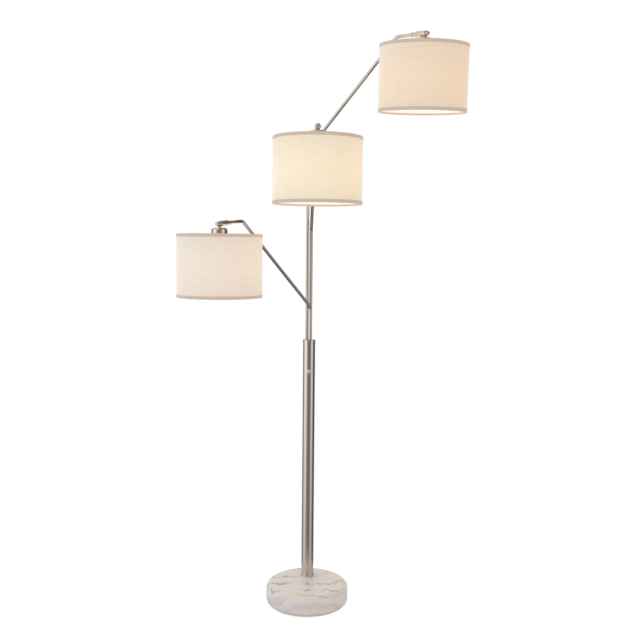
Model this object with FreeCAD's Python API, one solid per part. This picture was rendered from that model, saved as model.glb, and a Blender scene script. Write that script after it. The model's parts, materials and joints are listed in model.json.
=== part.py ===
import FreeCAD, Part
import math
import os
from FreeCAD import Placement, Rotation, Vector

# Tree floor lamp: a round stone base, a thick pole set behind its centre, and three thin arms that
# rise from the pole's cap, bend outwards at three heights and each carry a hanging drum shade.
# Millimetres, +Z up, origin at the centre of the base's underside, -Y is the front.
# "az" is a heading in plan, in degrees from +X towards the front.

# ---- clearances ----
FIT_GAP = 0.05            # between parts that are pushed or screwed together and don't turn
RUN_GAP = 0.05            # radial gap where a round part turns in a bore
END_GAP = 0.30            # end gap beside a part that turns

# ---- how many flats a rounding on a turned part is cut as ----
SMALL_CHORD_COUNT = 1
ROUND_CHORD_COUNT = 3
BULB_CHORD_COUNT = 4
BASE_CHORD_COUNT = 6

# ---- base ----
BASE_RADIUS = 159.5
BASE_HEIGHT = 80.5        # floor to the stone's top face
BASE_EDGE_RADIUS = 20.0
PAD_RADIUS = 132.0
PAD_THICKNESS = 2.0
POLE_SETBACK = 70.0       # the pole stands this far behind the base's centre
RECESS_RADIUS = 32.0      # pocket under the stone for the nut and washer
RECESS_DEPTH = 20.0
CORD_CHANNEL_RADIUS = 5.5
GLAND_BORE_RADIUS = 3.3
GLAND_LENGTH = 20.0
GLAND_INSET = 14.0        # from the stone's widest edge to the gland's outer end

# ---- tie rod through the stone ----
ROD_RADIUS = 5.0
ROD_BORE_RADIUS = 3.2
ROD_HOLE_GAP = 0.6
ROD_STICKS_UP = 12.0      # above the foot plug
WASHER_RADIUS = 26.0
WASHER_THICKNESS = 3.0
NUT_ACROSS_FLATS = 17.0
NUT_HEIGHT = 8.0
ROD_BELOW_NUT = 3.0

# ---- pole ----
POLE_RADIUS = 24.0
POLE_WALL = 1.5
POLE_TOP = 1023.5         # top edge of the tube, under the cap's lip
FOOT_RADIUS = 25.6
FOOT_TOP_RADIUS = 24.9
FOOT_HEIGHT = 9.5
PLUG_HEIGHT = 30.0
CAP_LIP_RADIUS = 25.2
CAP_LIP_HEIGHT = 5.0
CAP_EDGE = 1.2
CAP_SKIRT = 14.0
CAP_DISH_DEPTH = 1.0
CAP_DISH_BORDER = 1.6

# ---- arm seats in the pole ----
SEAT_CIRCLE_RADIUS = 9.4  # the three arms stand on this circle round the pole's axis
BUSH_WALL = 1.2
BUSH_FLANGE_WIDTH = 0.6
BUSH_FLANGE_HEIGHT = 1.2
CARRIER_TOP_DROP = 63.5   # from the tube's top edge down to the carrier disc
CARRIER_HEIGHT = 14.0
COLLAR_WALL = 1.6
COLLAR_HEIGHT = 6.0
ARM_TAIL = 4.0            # tube length below the lower collar

# ---- turn switch on the pole's front ----
SWITCH_DROP = 118.0       # from the tube's top edge down to the switch's axis
SWITCH_BODY_RADIUS = 10.0
SWITCH_BODY_DEPTH = 26.0
SWITCH_NECK_RADIUS = 5.0
SWITCH_NUT_RADIUS = 7.2
SWITCH_NUT_THICKNESS = 2.6
SWITCH_SHAFT_RADIUS = 3.0
SWITCH_SHAFT_LENGTH = 14.0
KNOB_RADIUS = 8.0
KNOB_SKIRT_DEPTH = 4.0
KNOB_GRIP_DEPTH = 8.0
KNOB_GRIP_WIDTH = 4.6
KNOB_GRIP_LENGTH = 15.0
KNOB_EDGE = 1.0
KNOB_TURN = -35.0         # where the grip points at rest

# ---- arm tubes ----
ARM_RADIUS = 6.0
ARM_WALL = 1.2
ARM_BEND_RADIUS = 25.0    # to the tube's centre line
JOINT_BELOW_BEND = 60.0   # from the lower bend's corner down to the joint with the stem
JOINT_SPIGOT = 20.0       # the bent tube's reduced end inside the stem

# ---- swivel at each arm's end, measured along the barrel from the shade's hanging axis ----
BARREL_RADIUS = 9.75
BARREL_INNER_END = 40.0   # towards the arm
BARREL_OUTER_END = 7.0    # towards the tip
BARREL_EDGE = 1.2
SPINDLE_RADIUS = 5.0
SPINDLE_NECK = 10.0       # visible shaft between collar and barrel
SPINDLE_COLLAR_RADIUS = 7.6
SPINDLE_COLLAR_LENGTH = 7.0
SPINDLE_SPIGOT = 15.0     # part of the spindle inside the arm's tube
SPINDLE_STUD_RADIUS = 3.0
SPINDLE_STUD_LENGTH = 6.0
SWIVEL_CAP_RADIUS = 7.2
SWIVEL_CAP_LENGTH = 10.0
NECK_RADIUS = 5.2

# ---- lamp holder, measured down from the barrel's axis along the hanging axis ----
CUP_TOP_DROP = 14.0
CUP_RADIUS = 28.5
CUP_HEIGHT = 58.0
CUP_SHOULDER = 9.0
CUP_WALL = 1.2
NIPPLE_RADIUS = 3.5
NIPPLE_BORE_RADIUS = 2.2
NIPPLE_ABOVE_CUP = 6.5
NIPPLE_IN_HOLDER = 10.0
HOLDER_RADIUS = 19.0
HOLDER_SKIRT_RADIUS = 20.0
HOLDER_SKIRT_LENGTH = 22.0
HOLDER_FLANGE_RADIUS = 24.0
HOLDER_FLANGE_HEIGHT = 3.0
HOLDER_TOP_GAP = 2.0      # between the cup's roof and the holder
SHADE_NUT_RADIUS = 25.5
SHADE_NUT_HEIGHT = 8.5

# ---- shade ----
SHADE_RADIUS = 150.0      # over the edge tapes
SHADE_HEIGHT = 220.0
SHADE_TOP_DROP = 35.5     # from the barrel's axis to the shade's top edge
SHADE_WALL = 1.3
TAPE_THICKNESS = 0.7
TAPE_WIDTH = 10.5
WIRE_SIZE = 3.2           # section of the shade's frame wire
WIRE_EDGE_INSET = 1.0     # from the shade's edge to the frame wire
HUB_WIDTH = 7.7
HUB_THICKNESS = 1.6
SPOKE_COUNT = 3

# ---- bulb ----
BULB_RADIUS = 30.0
BULB_LENGTH = 108.0
BULB_CAP_RADIUS = 13.0
BULB_CAP_LENGTH = 26.0
BULB_THROAT_LENGTH = 22.0
BULB_WALL = 1.5

# ---- the three arms ----
# seat: where the arm stands on the seat circle; rise: from the pole's top edge up to the lower bend;
# run and climb: plan length and rise of the sloping stretch; tip: plan length from the upper bend to
# the hanging axis.
ARMS = {
    "left": dict(seat=60.0, rise=131.5, az=137.3, run=333.6, climb=325.0,
                 tip=118.0, tip_az=126.8, tip_slope=6.2, lean=0.0, roll=0.0),
    "middle": dict(seat=-60.0, rise=433.5, az=87.0, run=340.9, climb=342.6,
                   tip=120.0, tip_az=87.0, tip_slope=6.0, lean=0.0, roll=0.0),
    "right": dict(seat=180.0, rise=735.5, az=46.0, run=440.0, climb=351.0,
                  tip=122.0, tip_az=46.0, tip_slope=4.7, lean=4.0, roll=3.5),
}

# ---- sizes that follow from the ones above ----
POLE_AXIS = Vector(0, POLE_SETBACK, 0)
POLE_INNER_RADIUS = POLE_RADIUS - POLE_WALL
CAP_TOP = POLE_TOP + CAP_LIP_HEIGHT
DISH_FLOOR = CAP_TOP - CAP_DISH_DEPTH
CARRIER_TOP = POLE_TOP - CARRIER_TOP_DROP
CARRIER_BOTTOM = CARRIER_TOP - CARRIER_HEIGHT
BUSH_RADIUS = ARM_RADIUS + RUN_GAP + BUSH_WALL
ARM_BOTTOM = CARRIER_BOTTOM - END_GAP - COLLAR_HEIGHT - ARM_TAIL
RECESS_ROOF = PAD_THICKNESS + RECESS_DEPTH
NUT_TOP = RECESS_ROOF - WASHER_THICKNESS
PLUG_TOP = BASE_HEIGHT + PLUG_HEIGHT
ROD_TOP = PLUG_TOP + ROD_STICKS_UP
SWITCH_HEIGHT = POLE_TOP - SWITCH_DROP
SWITCH_FRONT = POLE_SETBACK - POLE_RADIUS
SWITCH_BODY_FRONT = POLE_SETBACK - math.sqrt(POLE_INNER_RADIUS ** 2 - SWITCH_BODY_RADIUS ** 2) + FIT_GAP
KNOB_BACK = SWITCH_FRONT - SWITCH_NUT_THICKNESS - END_GAP
TUBE_END = BARREL_INNER_END + SPINDLE_NECK + SPINDLE_COLLAR_LENGTH
CUP_BOTTOM = -CUP_TOP_DROP - CUP_HEIGHT
HOLDER_TOP = -CUP_TOP_DROP - CUP_WALL - HOLDER_TOP_GAP
FLANGE_BOTTOM = CUP_BOTTOM - HOLDER_FLANGE_HEIGHT
HOLDER_BOTTOM = FLANGE_BOTTOM - HOLDER_SKIRT_LENGTH
MOUTH_ROOF = HOLDER_BOTTOM + BULB_CAP_LENGTH
MOUTH_RADIUS = BULB_CAP_RADIUS + FIT_GAP
HUB_INNER_RADIUS = HOLDER_SKIRT_RADIUS + 4 * FIT_GAP
HUB_TOP = FLANGE_BOTTOM - FIT_GAP
HUB_BOTTOM = HUB_TOP - HUB_THICKNESS
CLOTH_RADIUS = SHADE_RADIUS - TAPE_THICKNESS
WIRE_OUTER_RADIUS = CLOTH_RADIUS - SHADE_WALL - FIT_GAP
SHADE_TOP = -SHADE_TOP_DROP
SHADE_BOTTOM = SHADE_TOP - SHADE_HEIGHT


# ---- shape helpers ----

def rounding(before, here, after, radius, steps):
    """Evenly spaced points round a corner, from one tangent point to the other."""
    back = (before - here).normalize()
    ahead = (after - here).normalize()
    half = back.getAngle(ahead) / 2
    centre = here + (back + ahead).normalize() * (radius / math.sin(half))
    spoke = here + back * (radius / math.tan(half)) - centre
    axis = spoke.cross(here - centre)
    step = math.degrees(math.pi - 2 * half) / steps
    return [centre + Rotation(axis, step * k).multVec(spoke) for k in range(steps + 1)]


def outline(corners, chords):
    """A closed wire in the XZ plane through (x, z, rounding radius) corners.

    A rounding is a true arc, or, with chords given, that many short flats.
    """
    points = [Vector(x, 0, z) for x, z, _ in corners]
    count = len(points)
    stops = []
    for i in range(count):
        radius = corners[i][2]
        if radius == 0:
            stops.append([points[i]])
        else:
            following = points[(i + 1) % count]
            stops.append(rounding(points[i - 1], points[i], following, radius, chords or 2))
    edges = []
    for i in range(count):
        here = stops[i]
        if len(here) > 1 and not chords:
            edges.append(Part.Arc(*here).toShape())
        else:
            edges += [Part.makeLine(here[k], here[k + 1]) for k in range(len(here) - 1)]
        following = stops[(i + 1) % count][0]
        if here[-1].distanceToPoint(following) > 1e-6:
            edges.append(Part.makeLine(here[-1], following))
    return Part.Wire(edges)


def turned(corners, chords=0):
    """A solid of revolution about Z from (radius, height, rounding) corners."""
    return Part.Face(outline(corners, chords)).revolve(Vector(0, 0, 0), Vector(0, 0, 1), 360)


def ring(outer, inner, low, high):
    """A plain ring or, with inner 0, a disc, between two heights."""
    shape = Part.makeCylinder(outer, high - low, Vector(0, 0, low))
    if inner > 0:
        shape = shape.cut(Part.makeCylinder(inner, high - low, Vector(0, 0, low)))
    return shape


def moved(shape, placement):
    """A copy of the shape, carried by a placement."""
    return shape.transformed(placement.toMatrix())


def shifted(shape, offset):
    """A copy of the shape, moved without turning."""
    return moved(shape, Placement(offset, Rotation()))


def annulus(centre, direction, outer, inner):
    """A flat ring face, square to a direction."""
    rim = Part.Face(Part.Wire(Part.makeCircle(outer, centre, direction)))
    hole = Part.Face(Part.Wire(Part.makeCircle(inner, centre, direction)))
    return rim.cut(hole).Faces[0]


def bent_tube(points, bend_radius, outer, inner):
    """A tube of straight runs joined by tangent bends, along a list of corner points."""
    solids = []
    start = points[0]
    for i in range(1, len(points)):
        along = (points[i] - points[i - 1]).normalize()
        if i == len(points) - 1:
            solids.append(annulus(start, along, outer, inner).extrude(points[i] - start))
            break
        onward = (points[i + 1] - points[i]).normalize()
        turn = along.getAngle(onward)
        setback = bend_radius * math.tan(turn / 2)
        bend_start = points[i] - along * setback
        solids.append(annulus(start, along, outer, inner).extrude(bend_start - start))
        axis = along.cross(onward).normalize()
        pivot = bend_start + axis.cross(along).normalize() * bend_radius
        face = annulus(bend_start, along, outer, inner)
        solids.append(face.revolve(pivot, axis, math.degrees(turn)))
        start = points[i] + onward * setback
    return solids[0].multiFuse(solids[1:]).removeSplitter()


# ---- places on the arms ----

def heading(az, slope=0.0):
    """The unit vector of a heading in plan, dipping by a slope in degrees."""
    level = math.cos(math.radians(slope))
    return Vector(level * math.cos(math.radians(az)), -level * math.sin(math.radians(az)),
                  -math.sin(math.radians(slope)))


def seat_point(arm):
    """Where an arm's axis stands in the pole's cap, at floor level."""
    return POLE_AXIS + heading(arm["seat"]) * SEAT_CIRCLE_RADIUS


def lower_bend(arm):
    """The corner between the upright stretch and the sloping one."""
    return seat_point(arm) + Vector(0, 0, POLE_TOP + arm["rise"])


def upper_bend(arm):
    """The corner between the sloping stretch and the tip."""
    return lower_bend(arm) + heading(arm["az"]) * arm["run"] + Vector(0, 0, arm["climb"])


def hang_point(arm):
    """The point on the swivel's axis that the shade hangs from."""
    slope = arm["tip_slope"]
    length = arm["tip"] / math.cos(math.radians(slope))
    return upper_bend(arm) + heading(arm["tip_az"], slope) * length


def barrel_frame(arm):
    """Local X along the swivel barrel towards its tip, origin at the hanging axis."""
    turn = Rotation(Vector(0, 0, 1), -arm["tip_az"])
    dip = Rotation(Vector(0, 1, 0), arm["tip_slope"])
    return Placement(hang_point(arm), turn.multiply(dip))


def hanging_frame(arm):
    """Local Z up the shade's axis, origin on the swivel's axis."""
    turn = Rotation(Vector(0, 0, 1), -arm["tip_az"])
    lean = Rotation(Vector(0, 1, 0), arm["lean"])
    roll = Rotation(heading(arm["tip_az"], arm["tip_slope"]), arm["roll"])
    return Placement(hang_point(arm), roll.multiply(turn).multiply(lean))


def along_barrel(shape):
    """Lay a shape that was turned about Z along local X."""
    return moved(shape, Placement(Vector(0, 0, 0), Rotation(Vector(0, 1, 0), 90)))


# ---- base ----

def base_stone():
    """The round stone, with the rod's hole, the nut's pocket and the cord's channel underneath."""
    stone = turned([(0, PAD_THICKNESS, 0), (BASE_RADIUS, PAD_THICKNESS, BASE_EDGE_RADIUS),
                    (BASE_RADIUS, BASE_HEIGHT, BASE_EDGE_RADIUS), (0, BASE_HEIGHT, 0)],
                   chords=BASE_CHORD_COUNT)
    hole = Part.makeCylinder(ROD_RADIUS + ROD_HOLE_GAP, BASE_HEIGHT, POLE_AXIS)
    pocket = Part.makeCylinder(RECESS_RADIUS, RECESS_DEPTH, POLE_AXIS + Vector(0, 0, PAD_THICKNESS))
    channel_length = BASE_RADIUS - POLE_SETBACK
    roof_height = PAD_THICKNESS + CORD_CHANNEL_RADIUS
    roof = Part.makeCylinder(CORD_CHANNEL_RADIUS, channel_length,
                             POLE_AXIS + Vector(0, 0, roof_height), Vector(0, 1, 0))
    slot = Part.makeBox(2 * CORD_CHANNEL_RADIUS, channel_length, CORD_CHANNEL_RADIUS,
                        POLE_AXIS + Vector(-CORD_CHANNEL_RADIUS, 0, PAD_THICKNESS))
    return stone.cut([hole, pocket, roof, slot])


def base_pad():
    """The felt disc that the lamp rests on."""
    return ring(PAD_RADIUS, 0, 0, PAD_THICKNESS)


def cord_gland():
    """The soft bush in the channel's mouth at the back of the base."""
    radius = CORD_CHANNEL_RADIUS - FIT_GAP
    far_end = BASE_RADIUS - GLAND_INSET
    low = PAD_THICKNESS + CORD_CHANNEL_RADIUS
    bush = ring(radius, GLAND_BORE_RADIUS, 0, GLAND_LENGTH)
    return moved(bush, Placement(Vector(0, far_end, low), Rotation(Vector(1, 0, 0), 90)))


def base_washer():
    """The wide washer against the pocket's roof."""
    return shifted(ring(WASHER_RADIUS, ROD_RADIUS + FIT_GAP, NUT_TOP, RECESS_ROOF), POLE_AXIS)


def base_nut():
    """The hexagon nut under the washer."""
    corner_radius = NUT_ACROSS_FLATS / math.sqrt(3)
    corners = [Vector(corner_radius * math.cos(math.radians(60 * i)),
                      corner_radius * math.sin(math.radians(60 * i)), NUT_TOP - NUT_HEIGHT)
               for i in range(7)]
    prism = Part.Face(Part.makePolygon(corners)).extrude(Vector(0, 0, NUT_HEIGHT))
    nut = prism.cut(Part.makeCylinder(ROD_RADIUS, NUT_TOP))
    return shifted(nut, POLE_AXIS)


def tie_rod():
    """The hollow threaded rod that pulls the pole down on the stone."""
    low = NUT_TOP - NUT_HEIGHT - ROD_BELOW_NUT
    return shifted(ring(ROD_RADIUS, ROD_BORE_RADIUS, low, ROD_TOP), POLE_AXIS)


# ---- pole ----

def pole_foot():
    """The low flared ring round the pole's foot."""
    bore = POLE_RADIUS + FIT_GAP
    top = BASE_HEIGHT + FOOT_HEIGHT
    foot = turned([(bore, BASE_HEIGHT, 0), (FOOT_RADIUS, BASE_HEIGHT, 0),
                   (FOOT_RADIUS, BASE_HEIGHT + FOOT_HEIGHT / 3, 0), (FOOT_TOP_RADIUS, top, 0),
                   (bore, top, 0)])
    return shifted(foot, POLE_AXIS)


def foot_plug():
    """The plug in the pole's lower end, threaded for the tie rod."""
    return shifted(ring(POLE_INNER_RADIUS - FIT_GAP, ROD_RADIUS, BASE_HEIGHT, PLUG_TOP), POLE_AXIS)


def pole_tube():
    """The pole, with the switch's hole in its front."""
    tube = shifted(ring(POLE_RADIUS, POLE_INNER_RADIUS, BASE_HEIGHT, POLE_TOP), POLE_AXIS)
    hole = Part.makeCylinder(SWITCH_NECK_RADIUS + FIT_GAP, POLE_RADIUS,
                             POLE_AXIS + Vector(0, 0, SWITCH_HEIGHT), Vector(0, -1, 0))
    return tube.cut(hole)


def seat_holes(radius, low, high):
    """Three upright cylinders, one at each arm's seat."""
    return [Part.makeCylinder(radius, high - low, seat_point(arm) + Vector(0, 0, low))
            for arm in ARMS.values()]


def pole_cap():
    """The turned cap with a skirt inside the tube and a dished top, bored for the three arms."""
    skirt = POLE_INNER_RADIUS - FIT_GAP
    dish = CAP_LIP_RADIUS - CAP_DISH_BORDER
    cap = turned([(0, POLE_TOP - CAP_SKIRT, 0), (skirt, POLE_TOP - CAP_SKIRT, 0), (skirt, POLE_TOP, 0),
                  (CAP_LIP_RADIUS, POLE_TOP, 0), (CAP_LIP_RADIUS, CAP_TOP, CAP_EDGE),
                  (dish, CAP_TOP, 0), (dish - CAP_DISH_DEPTH, DISH_FLOOR, 0), (0, DISH_FLOOR, 0)],
                 chords=SMALL_CHORD_COUNT)
    holes = seat_holes(BUSH_RADIUS + FIT_GAP, POLE_TOP - CAP_SKIRT, CAP_TOP)
    return shifted(cap, POLE_AXIS).cut(holes)


def arm_bushes():
    """The three flanged bushes that line the cap's holes."""
    flange = BUSH_RADIUS + BUSH_FLANGE_WIDTH
    bush = turned([(ARM_RADIUS + RUN_GAP, POLE_TOP - CAP_SKIRT, 0), (BUSH_RADIUS, POLE_TOP - CAP_SKIRT, 0),
                   (BUSH_RADIUS, DISH_FLOOR, 0), (flange, DISH_FLOOR, 0),
                   (flange, DISH_FLOOR + BUSH_FLANGE_HEIGHT, 0),
                   (ARM_RADIUS + RUN_GAP, DISH_FLOOR + BUSH_FLANGE_HEIGHT, 0)])
    return Part.makeCompound([shifted(bush, seat_point(arm)) for arm in ARMS.values()])


def arm_carrier():
    """The disc inside the pole that the arms' collars rest on."""
    disc = shifted(ring(POLE_INNER_RADIUS - FIT_GAP, 0, CARRIER_BOTTOM, CARRIER_TOP), POLE_AXIS)
    return disc.cut(seat_holes(ARM_RADIUS + RUN_GAP, CARRIER_BOTTOM, CARRIER_TOP))


# ---- turn switch ----

def towards_front(shape, back):
    """Lay a shape that was turned about Z along -Y at the switch's height, its foot at y = back."""
    return moved(shape, Placement(Vector(0, back, SWITCH_HEIGHT), Rotation(Vector(1, 0, 0), 90)))


def switch_body():
    """The switch inside the pole, with its threaded neck through the wall."""
    back = SWITCH_BODY_FRONT + SWITCH_BODY_DEPTH
    neck_end = back - SWITCH_FRONT + SWITCH_NUT_THICKNESS
    bore = SWITCH_SHAFT_RADIUS + RUN_GAP
    bore_floor = neck_end - SWITCH_SHAFT_LENGTH
    body = turned([(0, 0, 0), (SWITCH_BODY_RADIUS, 0, 0), (SWITCH_BODY_RADIUS, SWITCH_BODY_DEPTH, 0),
                   (SWITCH_NECK_RADIUS, SWITCH_BODY_DEPTH, 0), (SWITCH_NECK_RADIUS, neck_end, 0),
                   (bore, neck_end, 0), (bore, bore_floor, 0), (0, bore_floor, 0)])
    return towards_front(body, back)


def switch_nut():
    """The ring nut that holds the switch on the pole."""
    nut = ring(SWITCH_NUT_RADIUS, SWITCH_NECK_RADIUS, 0, SWITCH_NUT_THICKNESS)
    return towards_front(nut, SWITCH_FRONT)


def switch_knob():
    """The turn knob: a round skirt, a flat finger grip and the shaft into the switch."""
    depth = KNOB_SKIRT_DEPTH + KNOB_GRIP_DEPTH
    skirt = turned([(0, 0, 0), (KNOB_RADIUS, 0, 0), (KNOB_RADIUS, KNOB_SKIRT_DEPTH, KNOB_EDGE),
                    (0, KNOB_SKIRT_DEPTH, 0)], chords=SMALL_CHORD_COUNT)
    grip = Part.makeBox(KNOB_GRIP_WIDTH, KNOB_GRIP_LENGTH, depth,
                        Vector(-KNOB_GRIP_WIDTH / 2, -KNOB_GRIP_LENGTH / 2, 0))
    upright = [edge for edge in grip.Edges
               if abs(edge.Vertexes[0].Point.z - edge.Vertexes[1].Point.z) > KNOB_GRIP_DEPTH]
    grip = grip.makeFillet(KNOB_GRIP_WIDTH * 0.4, upright)
    shaft_length = SWITCH_SHAFT_LENGTH - 2 * END_GAP
    shaft = Part.makeCylinder(SWITCH_SHAFT_RADIUS, shaft_length, Vector(0, 0, -shaft_length))
    knob = skirt.fuse(grip).fuse(shaft).removeSplitter()
    turned_grip = moved(knob, Placement(Vector(0, 0, 0), Rotation(Vector(0, 0, 1), KNOB_TURN)))
    return towards_front(turned_grip, KNOB_BACK)


# ---- arms ----

def joint_point(arm):
    """The middle of the joint between stem and bent tube."""
    return lower_bend(arm) - Vector(0, 0, JOINT_BELOW_BEND)


def arm_stem(arm):
    """The straight tube from inside the pole up to the joint below the bend."""
    stem = ring(ARM_RADIUS, ARM_RADIUS - ARM_WALL, ARM_BOTTOM, joint_point(arm).z)
    return shifted(stem, seat_point(arm))


def arm_tube(arm):
    """The bent tube from the stem to the swivel's collar, its lower end reduced to fit the stem."""
    tip_direction = heading(arm["tip_az"], arm["tip_slope"])
    corners = [joint_point(arm), lower_bend(arm), upper_bend(arm),
               hang_point(arm) - tip_direction * TUBE_END]
    bore = ARM_RADIUS - ARM_WALL
    tube = bent_tube(corners, ARM_BEND_RADIUS, ARM_RADIUS, bore)
    spigot = ring(bore - FIT_GAP, bore - ARM_WALL, -JOINT_SPIGOT, 0)
    shoulder = ring(ARM_RADIUS, bore - ARM_WALL, 0, ARM_WALL)
    return tube.multiFuse([shifted(spigot, joint_point(arm)), shifted(shoulder, joint_point(arm))])


def arm_collars(arm):
    """The two rings on the tube, above and below the carrier disc."""
    collar = ring(ARM_RADIUS + COLLAR_WALL, ARM_RADIUS, 0, COLLAR_HEIGHT)
    upper = seat_point(arm) + Vector(0, 0, CARRIER_TOP + END_GAP)
    lower = seat_point(arm) + Vector(0, 0, CARRIER_BOTTOM - END_GAP - COLLAR_HEIGHT)
    return Part.makeCompound([shifted(collar, upper), shifted(collar, lower)])


def swivel_spindle(arm):
    """The shaft that the barrel turns on, with its spigot in the arm and its collar."""
    shoulder = -BARREL_INNER_END
    collar_front = shoulder - SPINDLE_NECK
    collar_back = collar_front - SPINDLE_COLLAR_LENGTH
    spigot_radius = ARM_RADIUS - ARM_WALL - FIT_GAP
    stud_end = BARREL_OUTER_END + SPINDLE_STUD_LENGTH
    spindle = turned([(0, collar_back - SPINDLE_SPIGOT, 0), (spigot_radius, collar_back - SPINDLE_SPIGOT, 0),
                      (spigot_radius, collar_back, 0), (SPINDLE_COLLAR_RADIUS, collar_back, 0),
                      (SPINDLE_COLLAR_RADIUS, collar_front, 0), (ARM_RADIUS, collar_front, 0),
                      (ARM_RADIUS, shoulder, 0), (SPINDLE_RADIUS, shoulder, 0),
                      (SPINDLE_RADIUS, BARREL_OUTER_END, 0), (SPINDLE_STUD_RADIUS, BARREL_OUTER_END, 0),
                      (SPINDLE_STUD_RADIUS, stud_end, 0), (0, stud_end, 0)])
    return moved(along_barrel(spindle), barrel_frame(arm))


def swivel_cap(arm):
    """The round-ended nut that closes the swivel."""
    end = BARREL_OUTER_END + SWIVEL_CAP_LENGTH
    bore_end = BARREL_OUTER_END + SPINDLE_STUD_LENGTH + END_GAP
    cap = turned([(SPINDLE_STUD_RADIUS, BARREL_OUTER_END, 0), (SWIVEL_CAP_RADIUS, BARREL_OUTER_END, 0),
                  (SWIVEL_CAP_RADIUS, end, SWIVEL_CAP_RADIUS * 0.6), (0, end, 0), (0, bore_end, 0),
                  (SPINDLE_STUD_RADIUS, bore_end, 0)], chords=ROUND_CHORD_COUNT)
    return moved(along_barrel(cap), barrel_frame(arm))


# ---- hanging head ----

def swivel_barrel(arm):
    """The barrel that turns on the spindle, with the neck that the lamp hangs from."""
    inner_end = -BARREL_INNER_END + END_GAP
    outer_end = BARREL_OUTER_END - END_GAP
    bore = SPINDLE_RADIUS + RUN_GAP
    barrel = turned([(0, inner_end, 0), (BARREL_RADIUS, inner_end, BARREL_EDGE),
                     (BARREL_RADIUS, outer_end, BARREL_EDGE), (0, outer_end, 0)],
                    chords=SMALL_CHORD_COUNT)
    barrel = moved(along_barrel(barrel), barrel_frame(arm))
    neck = moved(Part.makeCylinder(NECK_RADIUS, CUP_TOP_DROP, Vector(0, 0, -CUP_TOP_DROP)),
                 hanging_frame(arm))
    nipple_hole = moved(Part.makeCylinder(NIPPLE_RADIUS, CUP_TOP_DROP, Vector(0, 0, -CUP_TOP_DROP)),
                        hanging_frame(arm))
    spindle_hole = Part.makeCylinder(bore, BARREL_INNER_END + BARREL_OUTER_END,
                                     Vector(0, 0, -BARREL_INNER_END))
    spindle_hole = moved(along_barrel(spindle_hole), barrel_frame(arm))
    return barrel.fuse(neck).cut([nipple_hole, spindle_hole])


def neck_nipple(arm):
    """The threaded tube that joins barrel, cup and lamp holder."""
    low = HOLDER_TOP - NIPPLE_IN_HOLDER
    high = -CUP_TOP_DROP + NIPPLE_ABOVE_CUP
    return moved(ring(NIPPLE_RADIUS, NIPPLE_BORE_RADIUS, low, high), hanging_frame(arm))


def socket_cup(arm):
    """The metal cup over the lamp holder."""
    top = -CUP_TOP_DROP
    inner = CUP_RADIUS - CUP_WALL
    roof = top - CUP_WALL
    cup = turned([(NIPPLE_RADIUS + FIT_GAP, top, 0), (CUP_RADIUS, top, CUP_SHOULDER),
                  (CUP_RADIUS, CUP_BOTTOM, 0), (inner, CUP_BOTTOM, 0),
                  (inner, roof, CUP_SHOULDER - CUP_WALL), (NIPPLE_RADIUS + FIT_GAP, roof, 0)],
                 chords=ROUND_CHORD_COUNT)
    return moved(cup, hanging_frame(arm))


def lamp_holder(arm):
    """The screw lamp holder, with the flange that the shade's hub is pressed against."""
    nipple_floor = HOLDER_TOP - NIPPLE_IN_HOLDER
    holder = turned([(NIPPLE_RADIUS, HOLDER_TOP, 0), (HOLDER_RADIUS, HOLDER_TOP, 0),
                     (HOLDER_RADIUS, CUP_BOTTOM, 0), (HOLDER_FLANGE_RADIUS, CUP_BOTTOM, 0),
                     (HOLDER_FLANGE_RADIUS, FLANGE_BOTTOM, 0), (HOLDER_SKIRT_RADIUS, FLANGE_BOTTOM, 0),
                     (HOLDER_SKIRT_RADIUS, HOLDER_BOTTOM, 0), (MOUTH_RADIUS, HOLDER_BOTTOM, 0),
                     (MOUTH_RADIUS, MOUTH_ROOF, 0), (0, MOUTH_ROOF, 0), (0, nipple_floor, 0),
                     (NIPPLE_RADIUS, nipple_floor, 0)])
    return moved(holder, hanging_frame(arm))


def shade_nut(arm):
    """The threaded ring that clamps the shade's hub to the holder."""
    top = HUB_BOTTOM - FIT_GAP
    nut = ring(SHADE_NUT_RADIUS, HOLDER_SKIRT_RADIUS, top - SHADE_NUT_HEIGHT, top)
    return moved(nut, hanging_frame(arm))


def wire_ring(low):
    """The square-section hoop inside the shade's edge, resting at a height."""
    return ring(WIRE_OUTER_RADIUS, WIRE_OUTER_RADIUS - WIRE_SIZE, low, low + WIRE_SIZE)


def shade_spider(arm):
    """The shade's upper frame: hub, spokes and top hoop, welded in one."""
    hoop_low = SHADE_TOP - WIRE_EDGE_INSET - WIRE_SIZE
    hub_outer = HUB_INNER_RADIUS + HUB_WIDTH
    hub = ring(hub_outer, HUB_INNER_RADIUS, HUB_BOTTOM, HUB_TOP)
    foot = Vector(hub_outer - WIRE_SIZE / 2, 0, (HUB_TOP + HUB_BOTTOM) / 2)
    head = Vector(WIRE_OUTER_RADIUS - WIRE_SIZE / 2, 0, hoop_low + WIRE_SIZE / 2)
    spoke = Part.makeCylinder(WIRE_SIZE / 2, (head - foot).Length, foot, head - foot)
    spokes = []
    for i in range(SPOKE_COUNT):
        turn = Rotation(Vector(0, 0, 1), 180 + 360 * (i + 0.5) / SPOKE_COUNT)
        spokes.append(moved(spoke, Placement(Vector(0, 0, 0), turn)))
    spider = wire_ring(hoop_low).multiFuse([hub] + spokes)
    return moved(spider, hanging_frame(arm))


def shade_lower_ring(arm):
    """The hoop inside the shade's lower edge."""
    return moved(wire_ring(SHADE_BOTTOM + WIRE_EDGE_INSET), hanging_frame(arm))


def shade_drum(arm):
    """The cloth drum, open above and below."""
    drum = ring(CLOTH_RADIUS, CLOTH_RADIUS - SHADE_WALL, SHADE_BOTTOM, SHADE_TOP)
    return moved(drum, hanging_frame(arm))


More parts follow.
